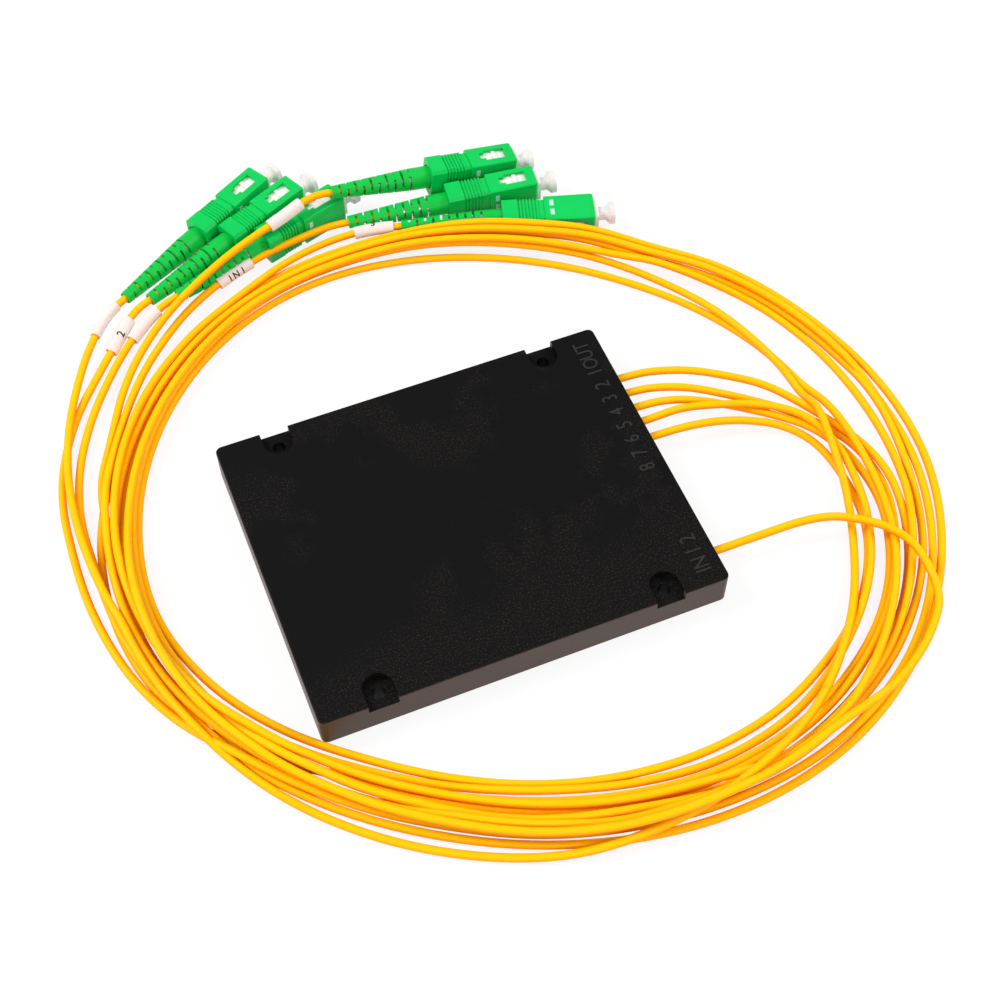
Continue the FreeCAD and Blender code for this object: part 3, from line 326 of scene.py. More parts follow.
def lay(points, may_rise, pile):
    """Raise the points until the cord rests on the pile, then ease the slopes."""
    need = [max(p.z, ON_TABLE) for p in points]
    for i, p in enumerate(points):
        if not may_rise[i]:
            continue
        near = [p]
        for j in (i - 1, i + 1):
            if 0 <= j < len(points):
                near += [p.lerp(points[j], (t + 1) / LOOKS_HALF_WAY / 2)
                         for t in range(LOOKS_HALF_WAY)]
        need[i] = max([need[i]] + [pile.rest(q) for q in near])
    height = list(need)
    runs = [(Vector(b.xy) - Vector(a.xy)).length for a, b in zip(points, points[1:])]
    for i in range(1, len(height)):
        height[i] = max(height[i], height[i - 1] - STEEPEST * runs[i - 1])
    for i in range(len(height) - 2, -1, -1):
        height[i] = max(height[i], height[i + 1] - STEEPEST * runs[i])
    for _ in range(EASINGS):
        eased = [height[0]] + [(a + 2 * b + c) / 4 for a, b, c
                               in zip(height, height[1:], height[2:])] + [height[-1]]
        height = [max(e, n) for e, n in zip(eased, need)]
    for i, p in enumerate(points):
        p.z = height[i] if may_rise[i] else p.z


ways = {cord: whole_way(cord) for cord in CORD_NAMES}
pile = Pile()
for cord, part in ORDER:
    chosen = [w for w in ways[cord] if (w[0] > -FULL_TURN) == (part == 1)]
    lay([w[1] for w in chosen], [w[2] for w in chosen], pile)
    pile.add(samples([w[1] for w in chosen]))
for cord in CORD_NAMES:
    print(cord, len(ways[cord]), "points, highest", round(max(w[1].z for w in ways[cord]), 1), "mm")

# %% [markdown]
# ## The cords as splines
#
# One open spline for each cord, with the points above as its control points. A NURBS curve of
# order 3 runs smoothly along them, and a bevel gives it its thickness. The order and the end
# rule are set once the points are in, because set earlier they fall back to straight runs.
# Blender reckons a curve's box with its points' own radius, so the thickness is put there and the
# bevel is one metre deep; the tube is the same, and the box fits it.

# %% Make the six cords
def make_cord(cord):
    shape = bpy.data.curves.new("cord_" + cord, "CURVE")
    shape.dimensions = "3D"
    shape.resolution_u = 6
    spline = shape.splines.new("NURBS")
    points = [w[1] * MM for w in ways[cord]]
    spline.points.add(len(points) - 1)
    for point, place in zip(spline.points, points):
        point.co, point.radius = (*place, 1.0), THICK / 2 * MM
    spline.order_u = 3
    spline.use_endpoint_u = True
    shape.bevel_depth = 1.0
    shape.bevel_resolution = 4
    shape.use_fill_caps = True
    made = bpy.data.objects.new("cord_" + cord, shape)
    bpy.context.scene.collection.objects.link(made)
    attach(made, "splitter")
    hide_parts("lead_" + cord, "tail_" + cord)
    return made


def centre_line(cord_piece):
    """The points that the spline itself gives, from a copy of the curve without its bevel."""
    bare = cord_piece.copy()
    bare.data = cord_piece.data.copy()
    bare.data.bevel_depth = 0.0
    bare.data.use_fill_caps = False
    bpy.context.scene.collection.objects.link(bare)
    bpy.context.view_layer.update()
    seen = bare.evaluated_get(bpy.context.evaluated_depsgraph_get())
    line = bpy.data.meshes.new_from_object(seen)
    places = [v.co.copy() for v in line.vertices]
    shape = bare.data
    bpy.data.objects.remove(bare)
    bpy.data.curves.remove(shape)
    bpy.data.meshes.remove(line)
    return places


cords = {cord: make_cord(cord) for cord in CORD_NAMES}
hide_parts("cord_coil")
lines = {cord: centre_line(piece) for cord, piece in cords.items()}
lengths = {cord: sum((b - a).length for a, b in zip(line, line[1:]))
           for cord, line in lines.items()}
print("lengths in metres:", {cord: round(v, 3) for cord, v in lengths.items()})

# %% [markdown]
# ## Finishes as expressions
#
# A finish is a small net of shader nodes. Written out link by link it is hard to follow, so one
# class wraps an output, and Python's own operators add the Math nodes. Another makes any node
# from its type, its settings and its sockets' values.

# %% The two helpers for finishes
class Wire:
    """One output of a node, which can be reckoned with."""

    def __init__(self, finish, socket):
        self.finish, self.socket = finish, socket

    def reckon(self, operation, *values):
        return self.finish.node("ShaderNodeMath", {"operation": operation}, dict(enumerate(values)))

    def __add__(self, other):
        return self.reckon("ADD", self, other)

    def __rsub__(self, other):
        return self.reckon("SUBTRACT", other, self)

    def __mul__(self, other):
        return self.reckon("MULTIPLY", self, other)

    __radd__ = __add__

    def above(self, level):
        return self.reckon("GREATER_THAN", self, level)

    def size(self):
        return self.reckon("ABSOLUTE", self)

    def most(self, other):
        return self.reckon("MAXIMUM", self, other)

    def least(self, other):
        return self.reckon("MINIMUM", self, other)

    def within(self, low, high):
        """0 at low, 1 at high, and straight between them."""
        return self.finish.node("ShaderNodeMapRange", {}, {0: self, 1: low, 2: high})


class Finish:
    """A material under construction."""

    def __init__(self, name):
        self.material = bpy.data.materials.new(name)
        self.material.use_nodes = True
        self.tree = self.material.node_tree
        self.tree.nodes.clear()
        self.end = self.tree.nodes.new("ShaderNodeOutputMaterial")

    def node(self, kind, settings=None, sockets=None, output=0):
        made = self.tree.nodes.new(kind)
        for name, value in (settings or {}).items():
            setattr(made, name, value)
        for key, value in (sockets or {}).items():
            if isinstance(value, Wire):
                self.tree.links.new(value.socket, made.inputs[key])
            else:
                made.inputs[key].default_value = value
        return Wire(self, made.outputs[output])

    def object_place(self):
        return self.node("ShaderNodeTexCoord", output="Object")

    def noise(self, scale, detail=3.0, roughness=0.5, place=None):
        return self.node("ShaderNodeTexNoise", {}, {
            "Vector": place or self.object_place(), "Scale": scale, "Detail": detail,
            "Roughness": roughness})

    def mix(self, share, one, other):
        """A colour between two colours."""
        return self.node("ShaderNodeMix", {"data_type": "RGBA"},
                         {0: share, 6: self.colour(one), 7: self.colour(other)}, output=2)

    @staticmethod
    def colour(value):
        return value if isinstance(value, Wire) else (*value, 1.0)

    def normal_part(self, axis):
        """How far the surface faces along X, Y or Z."""
        facing = self.node("ShaderNodeNewGeometry", output="Normal")
        return self.node("ShaderNodeSeparateXYZ", {}, {0: facing}, output=axis)

    def place_part(self, axis):
        """How far along X, Y or Z a point of the surface lies, in metres."""
        return self.node("ShaderNodeSeparateXYZ", {}, {0: self.object_place()}, output=axis)

    def bump(self, height, strength, depth):
        return self.node("ShaderNodeBump", {}, {"Height": height, "Strength": strength,
                                                "Distance": depth})

    def surface(self, **sockets):
        """End in a Principled shader; a name's underscores stand for spaces."""
        body = self.node("ShaderNodeBsdfPrincipled", {}, {
            name.replace("_", " "): (self.colour(value) if name.endswith("Color") else value)
            for name, value in sockets.items()})
        self.tree.links.new(body.socket, self.end.inputs["Surface"])
        return self.material


def dress(piece, finish):
    """Give a piece, or a ready made node, its finish in every slot."""
    slots = piece.data.materials
    if not len(slots):
        slots.append(finish)
    for i in range(len(slots)):
        slots[i] = finish


print("helpers ready")

# %% [markdown]
# ## The yellow jacket
#
# The jacket is soft vinyl, amber yellow and half glossy. Where strands lie side by side, light
# bounces between them and deepens the colour to orange. That shade is painted in: the parts that
# face sideways are painted a deeper orange than the crown. A faint grain keeps the highlight from
# being a perfect line.

# %% Finish the jacket
def jacket_finish():
    f = Finish("jacket_yellow")
    # Painted shade: surfaces facing sideways or down get a deeper orange than the upward crown, for
    # light bounced between strands.
    painted_lit_top = f.normal_part(2).within(-0.35, 0.85)
    cloud = f.noise(45.0, 2.0)
    base = f.mix(painted_lit_top, (1.0, 0.24, 0.0), (1.0, 0.53, 0.0))
    base = f.mix(cloud.within(0.35, 0.75) * 0.25, base, (1.0, 0.40, 0.0))
    grain = f.bump(f.noise(1500.0, 2.0), 0.12, 0.00005)
    return f.surface(Base_Color=base, Roughness=cloud * 0.12 + 0.40, Normal=grain,
                     Specular_IOR_Level=0.09)


jacket = jacket_finish()
for piece in cords.values():
    piece.data.materials.append(jacket)
for cord in CORD_NAMES:
    dress(nodes["lead_" + cord], jacket)
    dress(nodes["tail_" + cord], jacket)
dress(nodes["cord_coil"], jacket)
print("jacket on", len(cords), "cords")

# %% [markdown]
# ## Trees that grow meshes
#
# A tube that follows a path, or a row of like marks, is a rule, and a tree of geometry nodes
# states it once. A small class builds such a tree with named inputs for its sizes. A helper runs
# it on a start mesh, gives it any finishing modifiers and keeps the outcome as a plain mesh, so
# that nothing live is left on the piece.

# %% The helpers for geometry trees
class Tree:
    """A tree of geometry nodes with named inputs, which ends in a plain dressed mesh."""

    def __init__(self, name, inputs):
        self.group = bpy.data.node_groups.new(name, "GeometryNodeTree")
        face = self.group.interface
        face.new_socket("Geometry", in_out="INPUT", socket_type="NodeSocketGeometry")
        for label, kind in inputs.items():
            face.new_socket(label, in_out="INPUT", socket_type="NodeSocket" + kind)
        face.new_socket("Geometry", in_out="OUTPUT", socket_type="NodeSocketGeometry")
        self.given = self.group.nodes.new("NodeGroupInput").outputs
        self.result = self.group.nodes.new("NodeGroupOutput")

    def node(self, kind, sockets):
        made = self.group.nodes.new(kind)
        for key, value in sockets.items():
            if isinstance(value, bpy.types.NodeSocket):
                self.group.links.new(value, made.inputs[key])
            else:
                made.inputs[key].default_value = value
        return made.outputs[0]

    def end(self, geometry):
        real = self.node("GeometryNodeRealizeInstances", {"Geometry": geometry})
        dressed = self.node("GeometryNodeSetMaterial", {
            "Geometry": real, "Material": self.given["Material"]})
        self.group.links.new(dressed, self.result.inputs[0])
        return self


def grow(name, start, tree, values, finishing=()):
    """Run a tree on a start mesh, finish it, and keep the outcome as a plain mesh."""
    seed = bpy.data.objects.new("seed", start)
    bpy.context.scene.collection.objects.link(seed)
    growth = seed.modifiers.new("growth", "NODES")
    growth.node_group = tree.group
    for socket in tree.group.interface.items_tree:
        if socket.in_out == "INPUT" and socket.name in values:
            growth[socket.identifier] = values[socket.name]
    for kind, settings in finishing:
        extra = seed.modifiers.new(kind.lower(), kind)
        for setting, value in settings.items():
            setattr(extra, setting, value)
    bpy.context.view_layer.update()
    grown = seed.evaluated_get(bpy.context.evaluated_depsgraph_get())
    mesh = bpy.data.meshes.new_from_object(grown)
    bpy.data.objects.remove(seed)
    bpy.data.meshes.remove(start)
    mesh.name = name
    return mesh


def show(name, mesh, body):
    """Make a mesh a piece of the object."""
    made = bpy.data.objects.new(name, mesh)
    bpy.context.scene.collection.objects.link(made)
    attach(made, body)
    return made


print("tree helpers ready")

# %% [markdown]
# ## The marker sleeves
#
# Each cord wears a short pale tube near its boot, so that the ends can be told apart. A tree
# sweeps a circle along a stretch of the cord's own line. Solidify gives the tube its wall and
# Bevel its soft lips. On the real cords the sleeves are pressed a little flat, each a different
# way round, so the last step squeezes the tube across its line.

# %% The tree for a tube along a line
def tube_tree():
    tree = Tree("tube_on_line", {"Radius": "Float", "Sides": "Int", "Material": "Material"})
    line = tree.node("GeometryNodeMeshToCurve", {"Mesh": tree.given["Geometry"]})
    ring = tree.node("GeometryNodeCurvePrimitiveCircle", {
        "Resolution": tree.given["Sides"], "Radius": tree.given["Radius"]})
    tube = tree.node("GeometryNodeCurveToMesh", {"Curve": line, "Profile Curve": ring})
    return tree.end(tree.node("GeometryNodeSetShadeSmooth", {"Geometry": tube}))


def sleeve_finish():
    f = Finish("sleeve_pale")
    cloud = f.noise(260.0, 3.0)
    return f.surface(Base_Color=f.mix(cloud, (0.76, 0.66, 0.625), (0.83, 0.745, 0.71)),
                     Roughness=cloud * 0.2 + 0.42, Specular_IOR_Level=0.25,
                     Subsurface_Weight=0.1, Subsurface_Radius=(0.002, 0.001, 0.0008),
                     Subsurface_Scale=0.5, Normal=f.bump(f.noise(900.0), 0.15, 0.00006))


tube_on_line = tube_tree()
pale_sleeve = sleeve_finish()
print("tree", tube_on_line.group.name, "has", len(tube_on_line.group.nodes), "nodes")

# %% Where each sleeve sits, and how it is pressed
SLEEVE_FROM_BOOT = {"out_1": 2.9, "out_2": 7.6, "out_3": 6.4, "out_4": 8.7, "in_1": 28.8,
                    "out_5": 1.7}
SLEEVE_FLAT_TO = {"out_1": 112, "out_2": 22, "out_3": 22, "out_4": 35, "in_1": 35, "out_5": 30}
SLEEVE_LENGTH, SLEEVE_OUTER, SLEEVE_INNER, SLEEVE_LIP = 10.8, 3.0, 2.14, 0.14
PRESSED_WIDE, PRESSED_THIN = 1.13, 0.94
SLEEVE_RINGS = 25


def stretch(line, start, length, count):
    """Evenly spaced places on a line, with the line's direction at each."""
    found, walked, goal = [], 0.0, [start + length * i / (count - 1) for i in range(count)]
    for a, b in zip(line, line[1:]):
        run = (b - a).length
        while len(found) < count and walked + run >= goal[len(found)]:
            found.append((a.lerp(b, (goal[len(found)] - walked) / run), (b - a).normalized()))
        walked += run
    return found


def sleeve_start(cord):
    """How far along the cord its sleeve starts."""
    tip, line = plug_place(cord).translation, lines[cord]
    walked = [0.0]
    for a, b in zip(line, line[1:]):
        walked.append(walked[-1] + (b - a).length)
    at_tip = min(range(len(line)), key=lambda i: (line[i] - tip).length)
    return walked[at_tip] - (SLEEVE_FROM_BOOT[cord] + SLEEVE_LENGTH) * MM


def ring_frame(direction):
    """Two directions square to the line: one level, one that leans up."""
    side = direction.cross(Vector((0, 0, 1))).normalized()
    return side, side.cross(direction).normalized()


def press(mesh, cord, places):
    """Squeeze a tube, or what is printed on it, so that its flat side faces one way."""
    facing = math.radians(SLEEVE_FLAT_TO[cord])
    for v in mesh.vertices:
        centre, direction = min(places, key=lambda place: (place[0] - v.co).length)
        side, up = ring_frame(direction)
        thin = up * math.cos(facing) + side * math.sin(facing)
        wide = direction.cross(thin)
        off = v.co - centre
        v.co += wide * off.dot(wide) * (PRESSED_WIDE - 1) + thin * off.dot(thin) * (PRESSED_THIN - 1)


print("sleeves are", SLEEVE_LENGTH, "mm long")

# %% Make the six sleeves
def make_sleeve(cord):
    places = stretch(lines[cord], sleeve_start(cord), SLEEVE_LENGTH * MM, SLEEVE_RINGS)
    path = bpy.data.meshes.new("path")
    path.from_pydata([p for p, _ in places], [(i, i + 1) for i in range(len(places) - 1)], [])
    mesh = grow("sleeve_" + cord, path, tube_on_line,
                {"Radius": SLEEVE_OUTER / 2 * MM, "Sides": 28, "Material": pale_sleeve},
                [("SOLIDIFY", {"thickness": (SLEEVE_OUTER - SLEEVE_INNER) / 2 * MM, "offset": -1.0}),
                 ("BEVEL", {"width": SLEEVE_LIP * MM, "segments": 2})])
    press(mesh, cord, places)
    made = show("sleeve_" + cord, mesh, "splitter")
    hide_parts("marker_sleeves")
    return made


sleeves = {cord: make_sleeve(cord) for cord in CORD_NAMES}
dress(nodes["marker_sleeves"], pale_sleeve)
print("sleeves:", sorted(piece.name for piece in sleeves.values()))

# %% [markdown]
# ## The box
#
# The box is moulded in black plastic. Its top has a fine etched texture that scatters the
# light, and in patches the grain is painted brownish: partly real wear, partly painted glints of
# light. The side walls are smoother, and their lighter warm brown is a painted reflection of
# what lies round them. Both come from one finish, which asks which way the surface faces and
# whether it lies on the outside of the box.

# %% Finish the box
HALF_LONG, HALF_WIDE, OUTSIDE_FROM = 50.0, 40.0, 0.975


def box_finish():
    f = Finish("box_black")
    up = f.normal_part(2).within(0.35, 0.8)
    x, y = f.place_part(0), f.place_part(1)
    from_middle = (x * (1 / MM / HALF_LONG)).size().most((y * (1 / MM / HALF_WIDE)).size())
    edge = from_middle.above(OUTSIDE_FROM)
    wall_share = (1 - up) * edge
    near = (y * -1.0 + f.noise(30.0, 3.0) * 0.03).within(0.034, 0.044)
    islands = f.noise(70.0, 4.0, 0.6).within(0.50, 0.58) * f.noise(24.0, 2.0).within(0.44, 0.54)
    # Patches partly of real wear and partly of painted glints: a strip near the front edge and random
    # islands.
    wear_and_glint_patches = near.most(islands)
    etched = f.noise(2500.0, 3.0, 0.6)
    glint = etched.within(0.54, 0.70) * wear_and_glint_patches
    # Painted glints, partly wear: in the patches the etched grain is painted brownish.
    top = f.mix(glint * 0.7, (0.0048, 0.0046, 0.0048), (0.050, 0.037, 0.029))
    # Painted reflection: the walls get a lighter warm brown than the black top, for the pale room
    # reflected in them.
    wall = f.mix(f.noise(60.0, 2.0), (0.062, 0.043, 0.037), (0.080, 0.057, 0.049))
    return f.surface(Base_Color=f.mix(wall_share, top, wall),
                     Roughness=0.44 + up * (0.12 - glint * 0.1), Specular_IOR_Level=0.055,
                     Coat_Weight=wall_share * 0.2, Coat_Roughness=0.3,
                     Normal=f.bump(etched * up + f.noise(400.0) * 0.15, 0.28, 0.00012))


def legend_finish():
    f = Finish("legend_black")
    cloud = f.noise(220.0, 2.0)
    return f.surface(Base_Color=f.mix(cloud, (0.012, 0.0115, 0.0115), (0.020, 0.019, 0.018)),
                     Roughness=cloud * 0.15 + 0.32, Specular_IOR_Level=0.35,
                     Normal=f.bump(f.noise(900.0), 0.1, 0.00005))


black = box_finish()
dress(nodes["base_shell"], black)
dress(nodes["cover"], black)
print("box finished")

# %% [markdown]
# ## The raised port numbers
#
# Small raised letters along the edge say which port is which: IN and OUT, and plain numbers.
# They are real steps in the mould, so they are made as text, turned into a mesh, sized by their
# own height, made narrower and set on the cover. Text is made a mesh before it is placed, so
# that the piece sits at the origin as the others do.

# %% Set the letters on the cover
LETTER_HEIGHT, LETTER_RISE, LETTER_X, LETTER_NARROW = 3.9, 0.16, 45.0, 0.76
LEGEND = [("I", -35.9), ("N", -33.7), ("1", -30.2), ("2", -26.8)]
LEGEND += [(str(8 - i), -4.6 + 4.43 * i) for i in range(8)]
LEGEND += [("O", 29.3), ("U", 32.3), ("T", 35.1)]


def text_mesh(words, height, depth, bold=0.0):
    """A word as a mesh, its middle at the origin, as high and deep as asked (metres)."""
    face = bpy.data.curves.new("letters", "FONT")
    face.body, face.size, face.extrude, face.offset = words, 1.0, 0.5, bold
    face.resolution_u = 4
    face.align_x = "CENTER"
    held = bpy.data.objects.new("letters", face)
    bpy.context.scene.collection.objects.link(held)
    bpy.context.view_layer.update()
    flat = held.evaluated_get(bpy.context.evaluated_depsgraph_get())
    mesh = bpy.data.meshes.new_from_object(flat)
    bpy.data.objects.remove(held)
    bpy.data.curves.remove(face)
    low = Vector([min(v.co[i] for v in mesh.vertices) for i in range(3)])
    high = Vector([max(v.co[i] for v in mesh.vertices) for i in range(3)])
    scale = height / (high.y - low.y)
    mesh.transform(Matrix.Diagonal((scale, scale, depth / (high.z - low.z), 1.0))
                   @ Matrix.Translation(-(low + high) / 2))
    return mesh


def join_meshes(name, meshes):
    """Several meshes as one piece."""
    shape = bmesh.new()
    for mesh in meshes:
        shape.from_mesh(mesh)
        bpy.data.meshes.remove(mesh)
    bmesh.ops.remove_doubles(shape, verts=shape.verts, dist=1e-7)
    joined = bpy.data.meshes.new(name)
    shape.to_mesh(joined)
    shape.free()
    made = bpy.data.objects.new(name, joined)
    bpy.context.scene.collection.objects.link(made)
    return made


def make_legend():
    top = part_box("cover")[1][2]
    letters = []
    for sign, y in LEGEND:
        mesh = text_mesh(sign, LETTER_HEIGHT * MM, 2 * LETTER_RISE * MM)
        mesh.transform(Matrix.Translation((LETTER_X * MM, y * MM, top))
                       @ Matrix.Rotation(math.pi / 2, 4, "Z")
                       @ Matrix.Diagonal((LETTER_NARROW, 1.0, 1.0, 1.0)))
        letters.append(mesh)
    made = join_meshes("port_legend", letters)
    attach(made, "splitter")
    made.data.materials.append(legend_finish())
    return made


legend = make_legend()
print("legend of", len(LEGEND), "signs, faces:", len(legend.data.polygons))

# %% [markdown]
# ## The print on the sleeves
#
# A few sleeves show a mark in dark ink: which leg it is. The words are a mesh like the legend's,
# but they lie on a round sleeve. So the mesh is first cut by planes into small faces, and then
# each corner is bent round the cord's line: across the letters becomes round the sleeve.

# %% Wrap the words round three sleeves
SLEEVE_WORDS = {"in_1": ("I N 1", 1.75, 62.0), "out_2": ("2", 2.0, 20.0),
                "out_5": ("5", 1.8, -25.0)}
PRINT_DEPTH, PRINT_STEP, PRINT_BOLD = 0.06, 0.3, 0.022
PRINT_FINER = 9
PRINT_PLACES = (SLEEVE_RINGS - 1) * PRINT_FINER + 1


def ink_finish():
    f = Finish("ink")
    cloud = f.noise(700.0, 2.0)
    return f.surface(Base_Color=f.mix(cloud, (0.020, 0.017, 0.020), (0.050, 0.040, 0.045)),
                     Roughness=cloud * 0.1 + 0.45, Specular_IOR_Level=0.2)


def cut_fine(mesh):
    """Cut a flat mesh by planes across X and Y, so that it can bend."""
    shape = bmesh.new()
    shape.from_mesh(mesh)
    for axis in (0, 1):
        reach = max(v.co[axis] for v in shape.verts)
        square = Vector((axis == 0, axis == 1, 0))
        for i in range(-int(reach / (PRINT_STEP * MM)), int(reach / (PRINT_STEP * MM)) + 1):
            bmesh.ops.bisect_plane(shape, geom=shape.verts[:] + shape.edges[:] + shape.faces[:],
                                   plane_co=square * i * PRINT_STEP * MM, plane_no=square)
    shape.to_mesh(mesh)
    shape.free()


def print_sleeve(cord):
    words, height, turned = SLEEVE_WORDS[cord]
    mesh = text_mesh(words, height * MM, PRINT_DEPTH * MM, PRINT_BOLD)
    cut_fine(mesh)
    places = stretch(lines[cord], sleeve_start(cord), SLEEVE_LENGTH * MM, PRINT_PLACES)
    middle, apart = len(places) // 2, SLEEVE_LENGTH * MM / (len(places) - 1)
    for v in mesh.vertices:
        centre, direction = places[middle + round(v.co.x / apart)]
        side, up = ring_frame(direction)
        around = math.radians(turned) - v.co.y / (SLEEVE_OUTER / 2 * MM)
        off = direction * (v.co.x / apart - round(v.co.x / apart)) * apart
        v.co = centre + off + (SLEEVE_OUTER / 2 * MM + v.co.z) * (up * math.cos(around)
                                                                 + side * math.sin(around))
    press(mesh, cord, places[::PRINT_FINER])
    made = show("print_" + cord, mesh, "splitter")
    made.data.materials.append(ink)
    return made


ink = ink_finish()
prints = {cord: print_sleeve(cord) for cord in SLEEVE_WORDS}
print("printed", {cord: len(piece.data.polygons) for cord, piece in prints.items()}, "faces")

# %% [markdown]
# ## The green plugs
#
# The grip and the boot are both green, but not the same: the grip is hard glossy plastic, and
# the boot is a softer rubbery one. Light enters both a little way, which keeps their shaded
# sides from going black.

# %% Finish grips, boots, frames and caps
def grip_finish():
    f = Finish("plug_green")
    cloud = f.noise(90.0, 2.0)
    return f.surface(Base_Color=f.mix(cloud, (0.0, 0.49, 0.080), (0.0, 0.58, 0.100)),
                     Roughness=cloud * 0.15 + 0.26, Specular_IOR_Level=0.2,
                     Subsurface_Weight=0.12, Subsurface_Radius=(0.0004, 0.0016, 0.0006),
                     Subsurface_Scale=0.6, Normal=f.bump(f.noise(700.0, 2.0), 0.10, 0.00005))


def boot_finish():
    f = Finish("boot_green")
    cloud = f.noise(120.0, 2.0)
    return f.surface(Base_Color=f.mix(cloud, (0.0, 0.45, 0.045), (0.0, 0.55, 0.065)),
                     Roughness=cloud * 0.15 + 0.36, Specular_IOR_Level=0.22,
                     Subsurface_Weight=0.12, Subsurface_Radius=(0.0004, 0.0016, 0.0006),
                     Subsurface_Scale=0.6, Normal=f.bump(f.noise(1100.0, 2.0), 0.16, 0.00006))


def frame_finish():
    f = Finish("frame_white")
    cloud = f.noise(150.0, 2.0)
    return f.surface(Base_Color=f.mix(cloud, (0.79, 0.77, 0.73), (0.86, 0.85, 0.82)),
                     Roughness=cloud * 0.15 + 0.30, Specular_IOR_Level=0.3,
                     Normal=f.bump(f.noise(600.0), 0.1, 0.00005))


def cap_finish():
    f = Finish("cap_clear")
    cloud = f.noise(200.0, 2.0)
    return f.surface(Base_Color=f.mix(cloud, (0.76, 0.72, 0.70), (0.84, 0.80, 0.78)),
                     Roughness=cloud * 0.15 + 0.24, Alpha=0.92, Specular_IOR_Level=0.4,
                     Subsurface_Weight=0.2, Subsurface_Radius=(0.002, 0.002, 0.002),
                     Subsurface_Scale=0.5, Normal=f.bump(f.noise(500.0), 0.1, 0.00005))


finishes = {"outer_housing": grip_finish(), "boot": boot_finish(),
            "inner_frame": frame_finish(), "dust_cap": cap_finish()}
for kind, finish in finishes.items():
    for cord in CORD_NAMES:
        dress(nodes[kind + "_" + cord], finish)
print("finished", {kind: len(CORD_NAMES) for kind in finishes})

# %% [markdown]
# ## The hidden pieces
#
# The box holds a steel-cased splitter module on a foam pad, and each plug holds a ceramic
# ferrule, a spring and a metal post. They show only when the part is opened, but each gets the
# finish of its own stuff.

# %% Finish what is inside
def plain_finish(name, dark, light, rough, metal=0.0, grain=800.0, brush=1.0):
    """A finish from two near colours, a roughness and a grain; brush stretches it along X."""
    f = Finish(name)
    place = f.node("ShaderNodeMapping", {}, {
        "Vector": f.object_place(), "Scale": (1.0 / brush, 1.0, 1.0)})
    cloud = f.noise(grain, 3.0, 0.5, place)
    return f.surface(Base_Color=f.mix(cloud, dark, light), Roughness=cloud * 0.15 + rough,
                     Metallic=metal, Normal=f.bump(cloud, 0.15, 0.00005))


INNER = {
    "splitter_module": plain_finish("module_steel", (0.52, 0.52, 0.54), (0.66, 0.66, 0.68), 0.26,
                                    1.0, 900.0, 12.0),
    "module_end_boots": plain_finish("boot_rubber", (0.010, 0.010, 0.011), (0.022, 0.022, 0.024),
                                     0.55),
    "plc_chip": plain_finish("chip_glass", (0.55, 0.62, 0.66), (0.70, 0.76, 0.80), 0.10),
    "module_pad": plain_finish("foam", (0.05, 0.05, 0.055), (0.12, 0.12, 0.13), 0.8, 0.0, 300.0),
    "buffer_fibres": plain_finish("buffer_white", (0.80, 0.80, 0.78), (0.90, 0.90, 0.88), 0.35),
    "cable_anchors": plain_finish("crimp_metal", (0.58, 0.57, 0.55), (0.72, 0.71, 0.69), 0.30, 1.0),
    "crimp_rings": plain_finish("crimp_metal_plug", (0.58, 0.57, 0.55), (0.72, 0.71, 0.69), 0.30, 1.0),
    "back_posts": plain_finish("post_metal", (0.60, 0.55, 0.42), (0.74, 0.69, 0.55), 0.25, 1.0),
}
for name, finish in INNER.items():
    dress(nodes[name], finish)
ceramic = plain_finish("ferrule_ceramic", (0.86, 0.86, 0.84), (0.94, 0.94, 0.92), 0.12)
wire = plain_finish("spring_steel", (0.50, 0.50, 0.52), (0.64, 0.64, 0.66), 0.22, 1.0)
for cord in CORD_NAMES:
    dress(nodes["ferrule_" + cord], ceramic)
    dress(nodes["spring_" + cord], wire)
print("inner nodes finished:", len(INNER) + 2 * len(CORD_NAMES))

# %% [markdown]
# ## The springs
#
# When a ferrule is pushed in, its spring gets shorter by the same stroke. The spring's back end
# stays against its post, so it flattens along the plug towards that end. Here each spring only
# gets a mesh of its own; it is not made shorter.

# %% Give each spring a mesh of its own
for cord in CORD_NAMES:
    coil, place = nodes["spring_" + cord], plug_place(cord)
    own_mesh(coil)

# %% [markdown]
# ## The key marks on the grips
#
# Each grip carries two short pale bars on one side, which show how far it is pushed in. They are
# paint, so they are almost flat plates that sit on the green and ride with the grip. A tree sets
# out the row: a line of points, the same small block on each, and the paint.

# %% Paint the bars
BAR_AT, BAR_LONG, BAR_WIDE, BAR_PAINT, GRIP_HALF = 41.0, 1.1, 2.1, 0.12, 3.7
BAR_APART, BAR_COUNT, BAR_EDGE = 3.3, 2, 0.03


def row_tree():
    tree = Tree("row_of_blocks", {"Count": "Int", "First": "Vector", "Step": "Vector",
                                  "Size": "Vector", "Material": "Material"})
    row = tree.node("GeometryNodeMeshLine", {
        "Count": tree.given["Count"], "Start Location": tree.given["First"],
        "Offset": tree.given["Step"]})
    block = tree.node("GeometryNodeMeshCube", {"Size": tree.given["Size"]})
    return tree.end(tree.node("GeometryNodeInstanceOnPoints", {"Points": row, "Instance": block}))


def make_bars(cord):
    first = Vector((BAR_AT, -GRIP_HALF, -BAR_APART * (BAR_COUNT - 1) / 2)) * MM
    mesh = grow("key_bars_" + cord, bpy.data.meshes.new("nothing"), row_of_blocks,
                {"Count": BAR_COUNT, "First": first, "Step": (0, 0, BAR_APART * MM),
                 "Size": (BAR_LONG * MM, BAR_PAINT * MM, BAR_WIDE * MM), "Material": paint},
                [("BEVEL", {"width": BAR_EDGE * MM, "segments": 2})])
    mesh.transform(plug_place(cord))
    return show("key_bars_" + cord, mesh, "grip_" + cord)


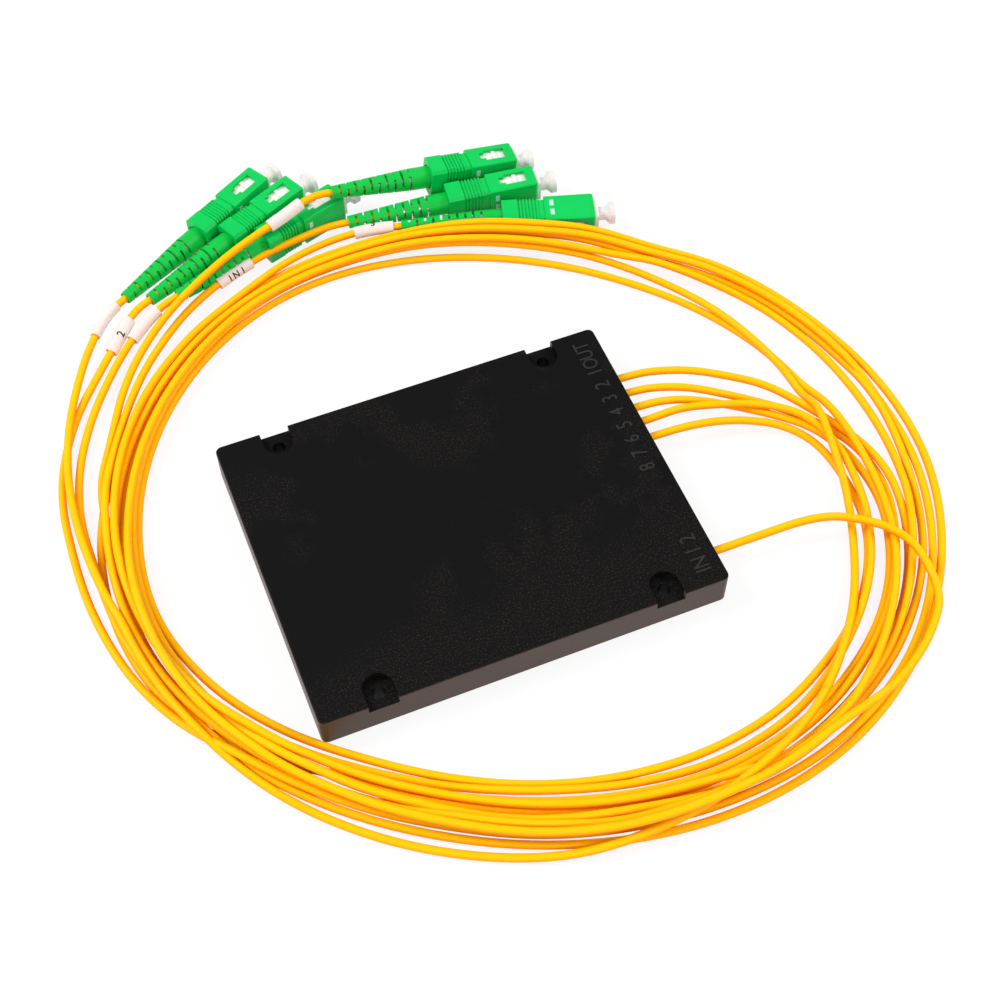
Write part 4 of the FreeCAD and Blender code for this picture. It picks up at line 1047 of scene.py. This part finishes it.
row_of_blocks = row_tree()
paint = plain_finish("bar_pale", (0.42, 0.66, 0.56), (0.54, 0.76, 0.67), 0.4)
bars = [make_bars(cord) for cord in CORD_NAMES]
print("bars painted on", len(bars), "grips, each with", len(bars[0].data.polygons), "faces")

# %% [markdown]
# ## The table and the light
#
# The object lies on a plain white table in soft studio light: a big lamp high at the left
# behind, one at the right, a weaker one in front, and a pale room. The table is white by its own
# colour, and a share of it is taken straight as white where the camera looks, so the object's
# shadow stays but is faint.

# %% Make the table
TABLE_SIZE, TABLE_GAP, TABLE_SHARE = 3.0, 0.0001, 0.86


def table_finish():
    f = Finish("table_white")
    seen = f.node("ShaderNodeLightPath", output="Is Camera Ray")
    mirrored = f.node("ShaderNodeLightPath", output="Is Glossy Ray")
    through = f.node("ShaderNodeLightPath", output="Is Transmission Ray")
    share = (seen + mirrored + through).least(1.0) * TABLE_SHARE
    paper = f.node("ShaderNodeBsdfDiffuse", {}, {"Color": (0.96, 0.96, 0.96, 1.0)})
    white = f.node("ShaderNodeEmission", {}, {"Color": (1.0, 1.0, 1.0, 1.0), "Strength": 1.0})
    mixed = f.node("ShaderNodeMixShader", {}, {0: share, 1: paper, 2: white})
    f.tree.links.new(mixed.socket, f.end.inputs["Surface"])
    return f.material


sheet = bmesh.new()
bmesh.ops.create_grid(sheet, x_segments=1, y_segments=1, size=TABLE_SIZE)
table_mesh = bpy.data.meshes.new("table")
sheet.to_mesh(table_mesh)
sheet.free()
table_mesh.transform(Matrix.Translation((0, 0, cad_box[0][2] - TABLE_GAP)))
table = bpy.data.objects.new("table", table_mesh)
bpy.context.scene.collection.objects.link(table)
table.data.materials.append(table_finish())
print("table at", round(cad_box[0][2] / MM, 2), "mm")

# %% Hang the lamps and set the room
LIT_PLACE = Vector((0.01, 0.01, 0.0))


def lamp(name, place, size, watts):
    light = bpy.data.lights.new(name, "AREA")
    light.shape, light.size, light.energy = "DISK", size, watts
    hung = bpy.data.objects.new(name, light)
    hung.location = place
    hung.rotation_euler = (LIT_PLACE - Vector(place)).to_track_quat("-Z", "Y").to_euler()
    bpy.context.scene.collection.objects.link(hung)


lamp("lamp_left", (-0.75, 0.45, 0.95), 0.55, 10.5)
lamp("lamp_right", (0.85, -0.10, 0.85), 0.50, 5.0)
lamp("lamp_front", (-0.15, -0.95, 0.75), 0.45, 3.4)

room = bpy.data.worlds.new("room")
room.use_nodes = True
bpy.context.scene.world = room
air = room.node_tree.nodes["Background"]
path = room.node_tree.nodes.new("ShaderNodeLightPath")
pale = room.node_tree.nodes.new("ShaderNodeMix")
pale.data_type = "FLOAT"
pale.inputs[2].default_value, pale.inputs[3].default_value = 0.53, 1.0
room.node_tree.links.new(path.outputs["Is Camera Ray"], pale.inputs[0])
room.node_tree.links.new(pale.outputs[0], air.inputs["Strength"])
air.inputs["Color"].default_value = (1.0, 1.0, 1.0, 1.0)
bpy.context.scene.view_settings.view_transform = "Standard"

# %% [markdown]
# ## The last step
#
# The pieces on each cord's end are listed: its sleeve, its print if it has one, and its plug's parts.

for cord in CORD_NAMES:
    on_it = [sleeves[cord]] + ([prints[cord]] if cord in prints else [])
    on_it += [nodes[kind + "_" + cord] for kind in
              ("boot", "outer_housing", "inner_frame", "ferrule", "dust_cap", "spring")]

print("declared", len(CORD_NAMES), "cords")
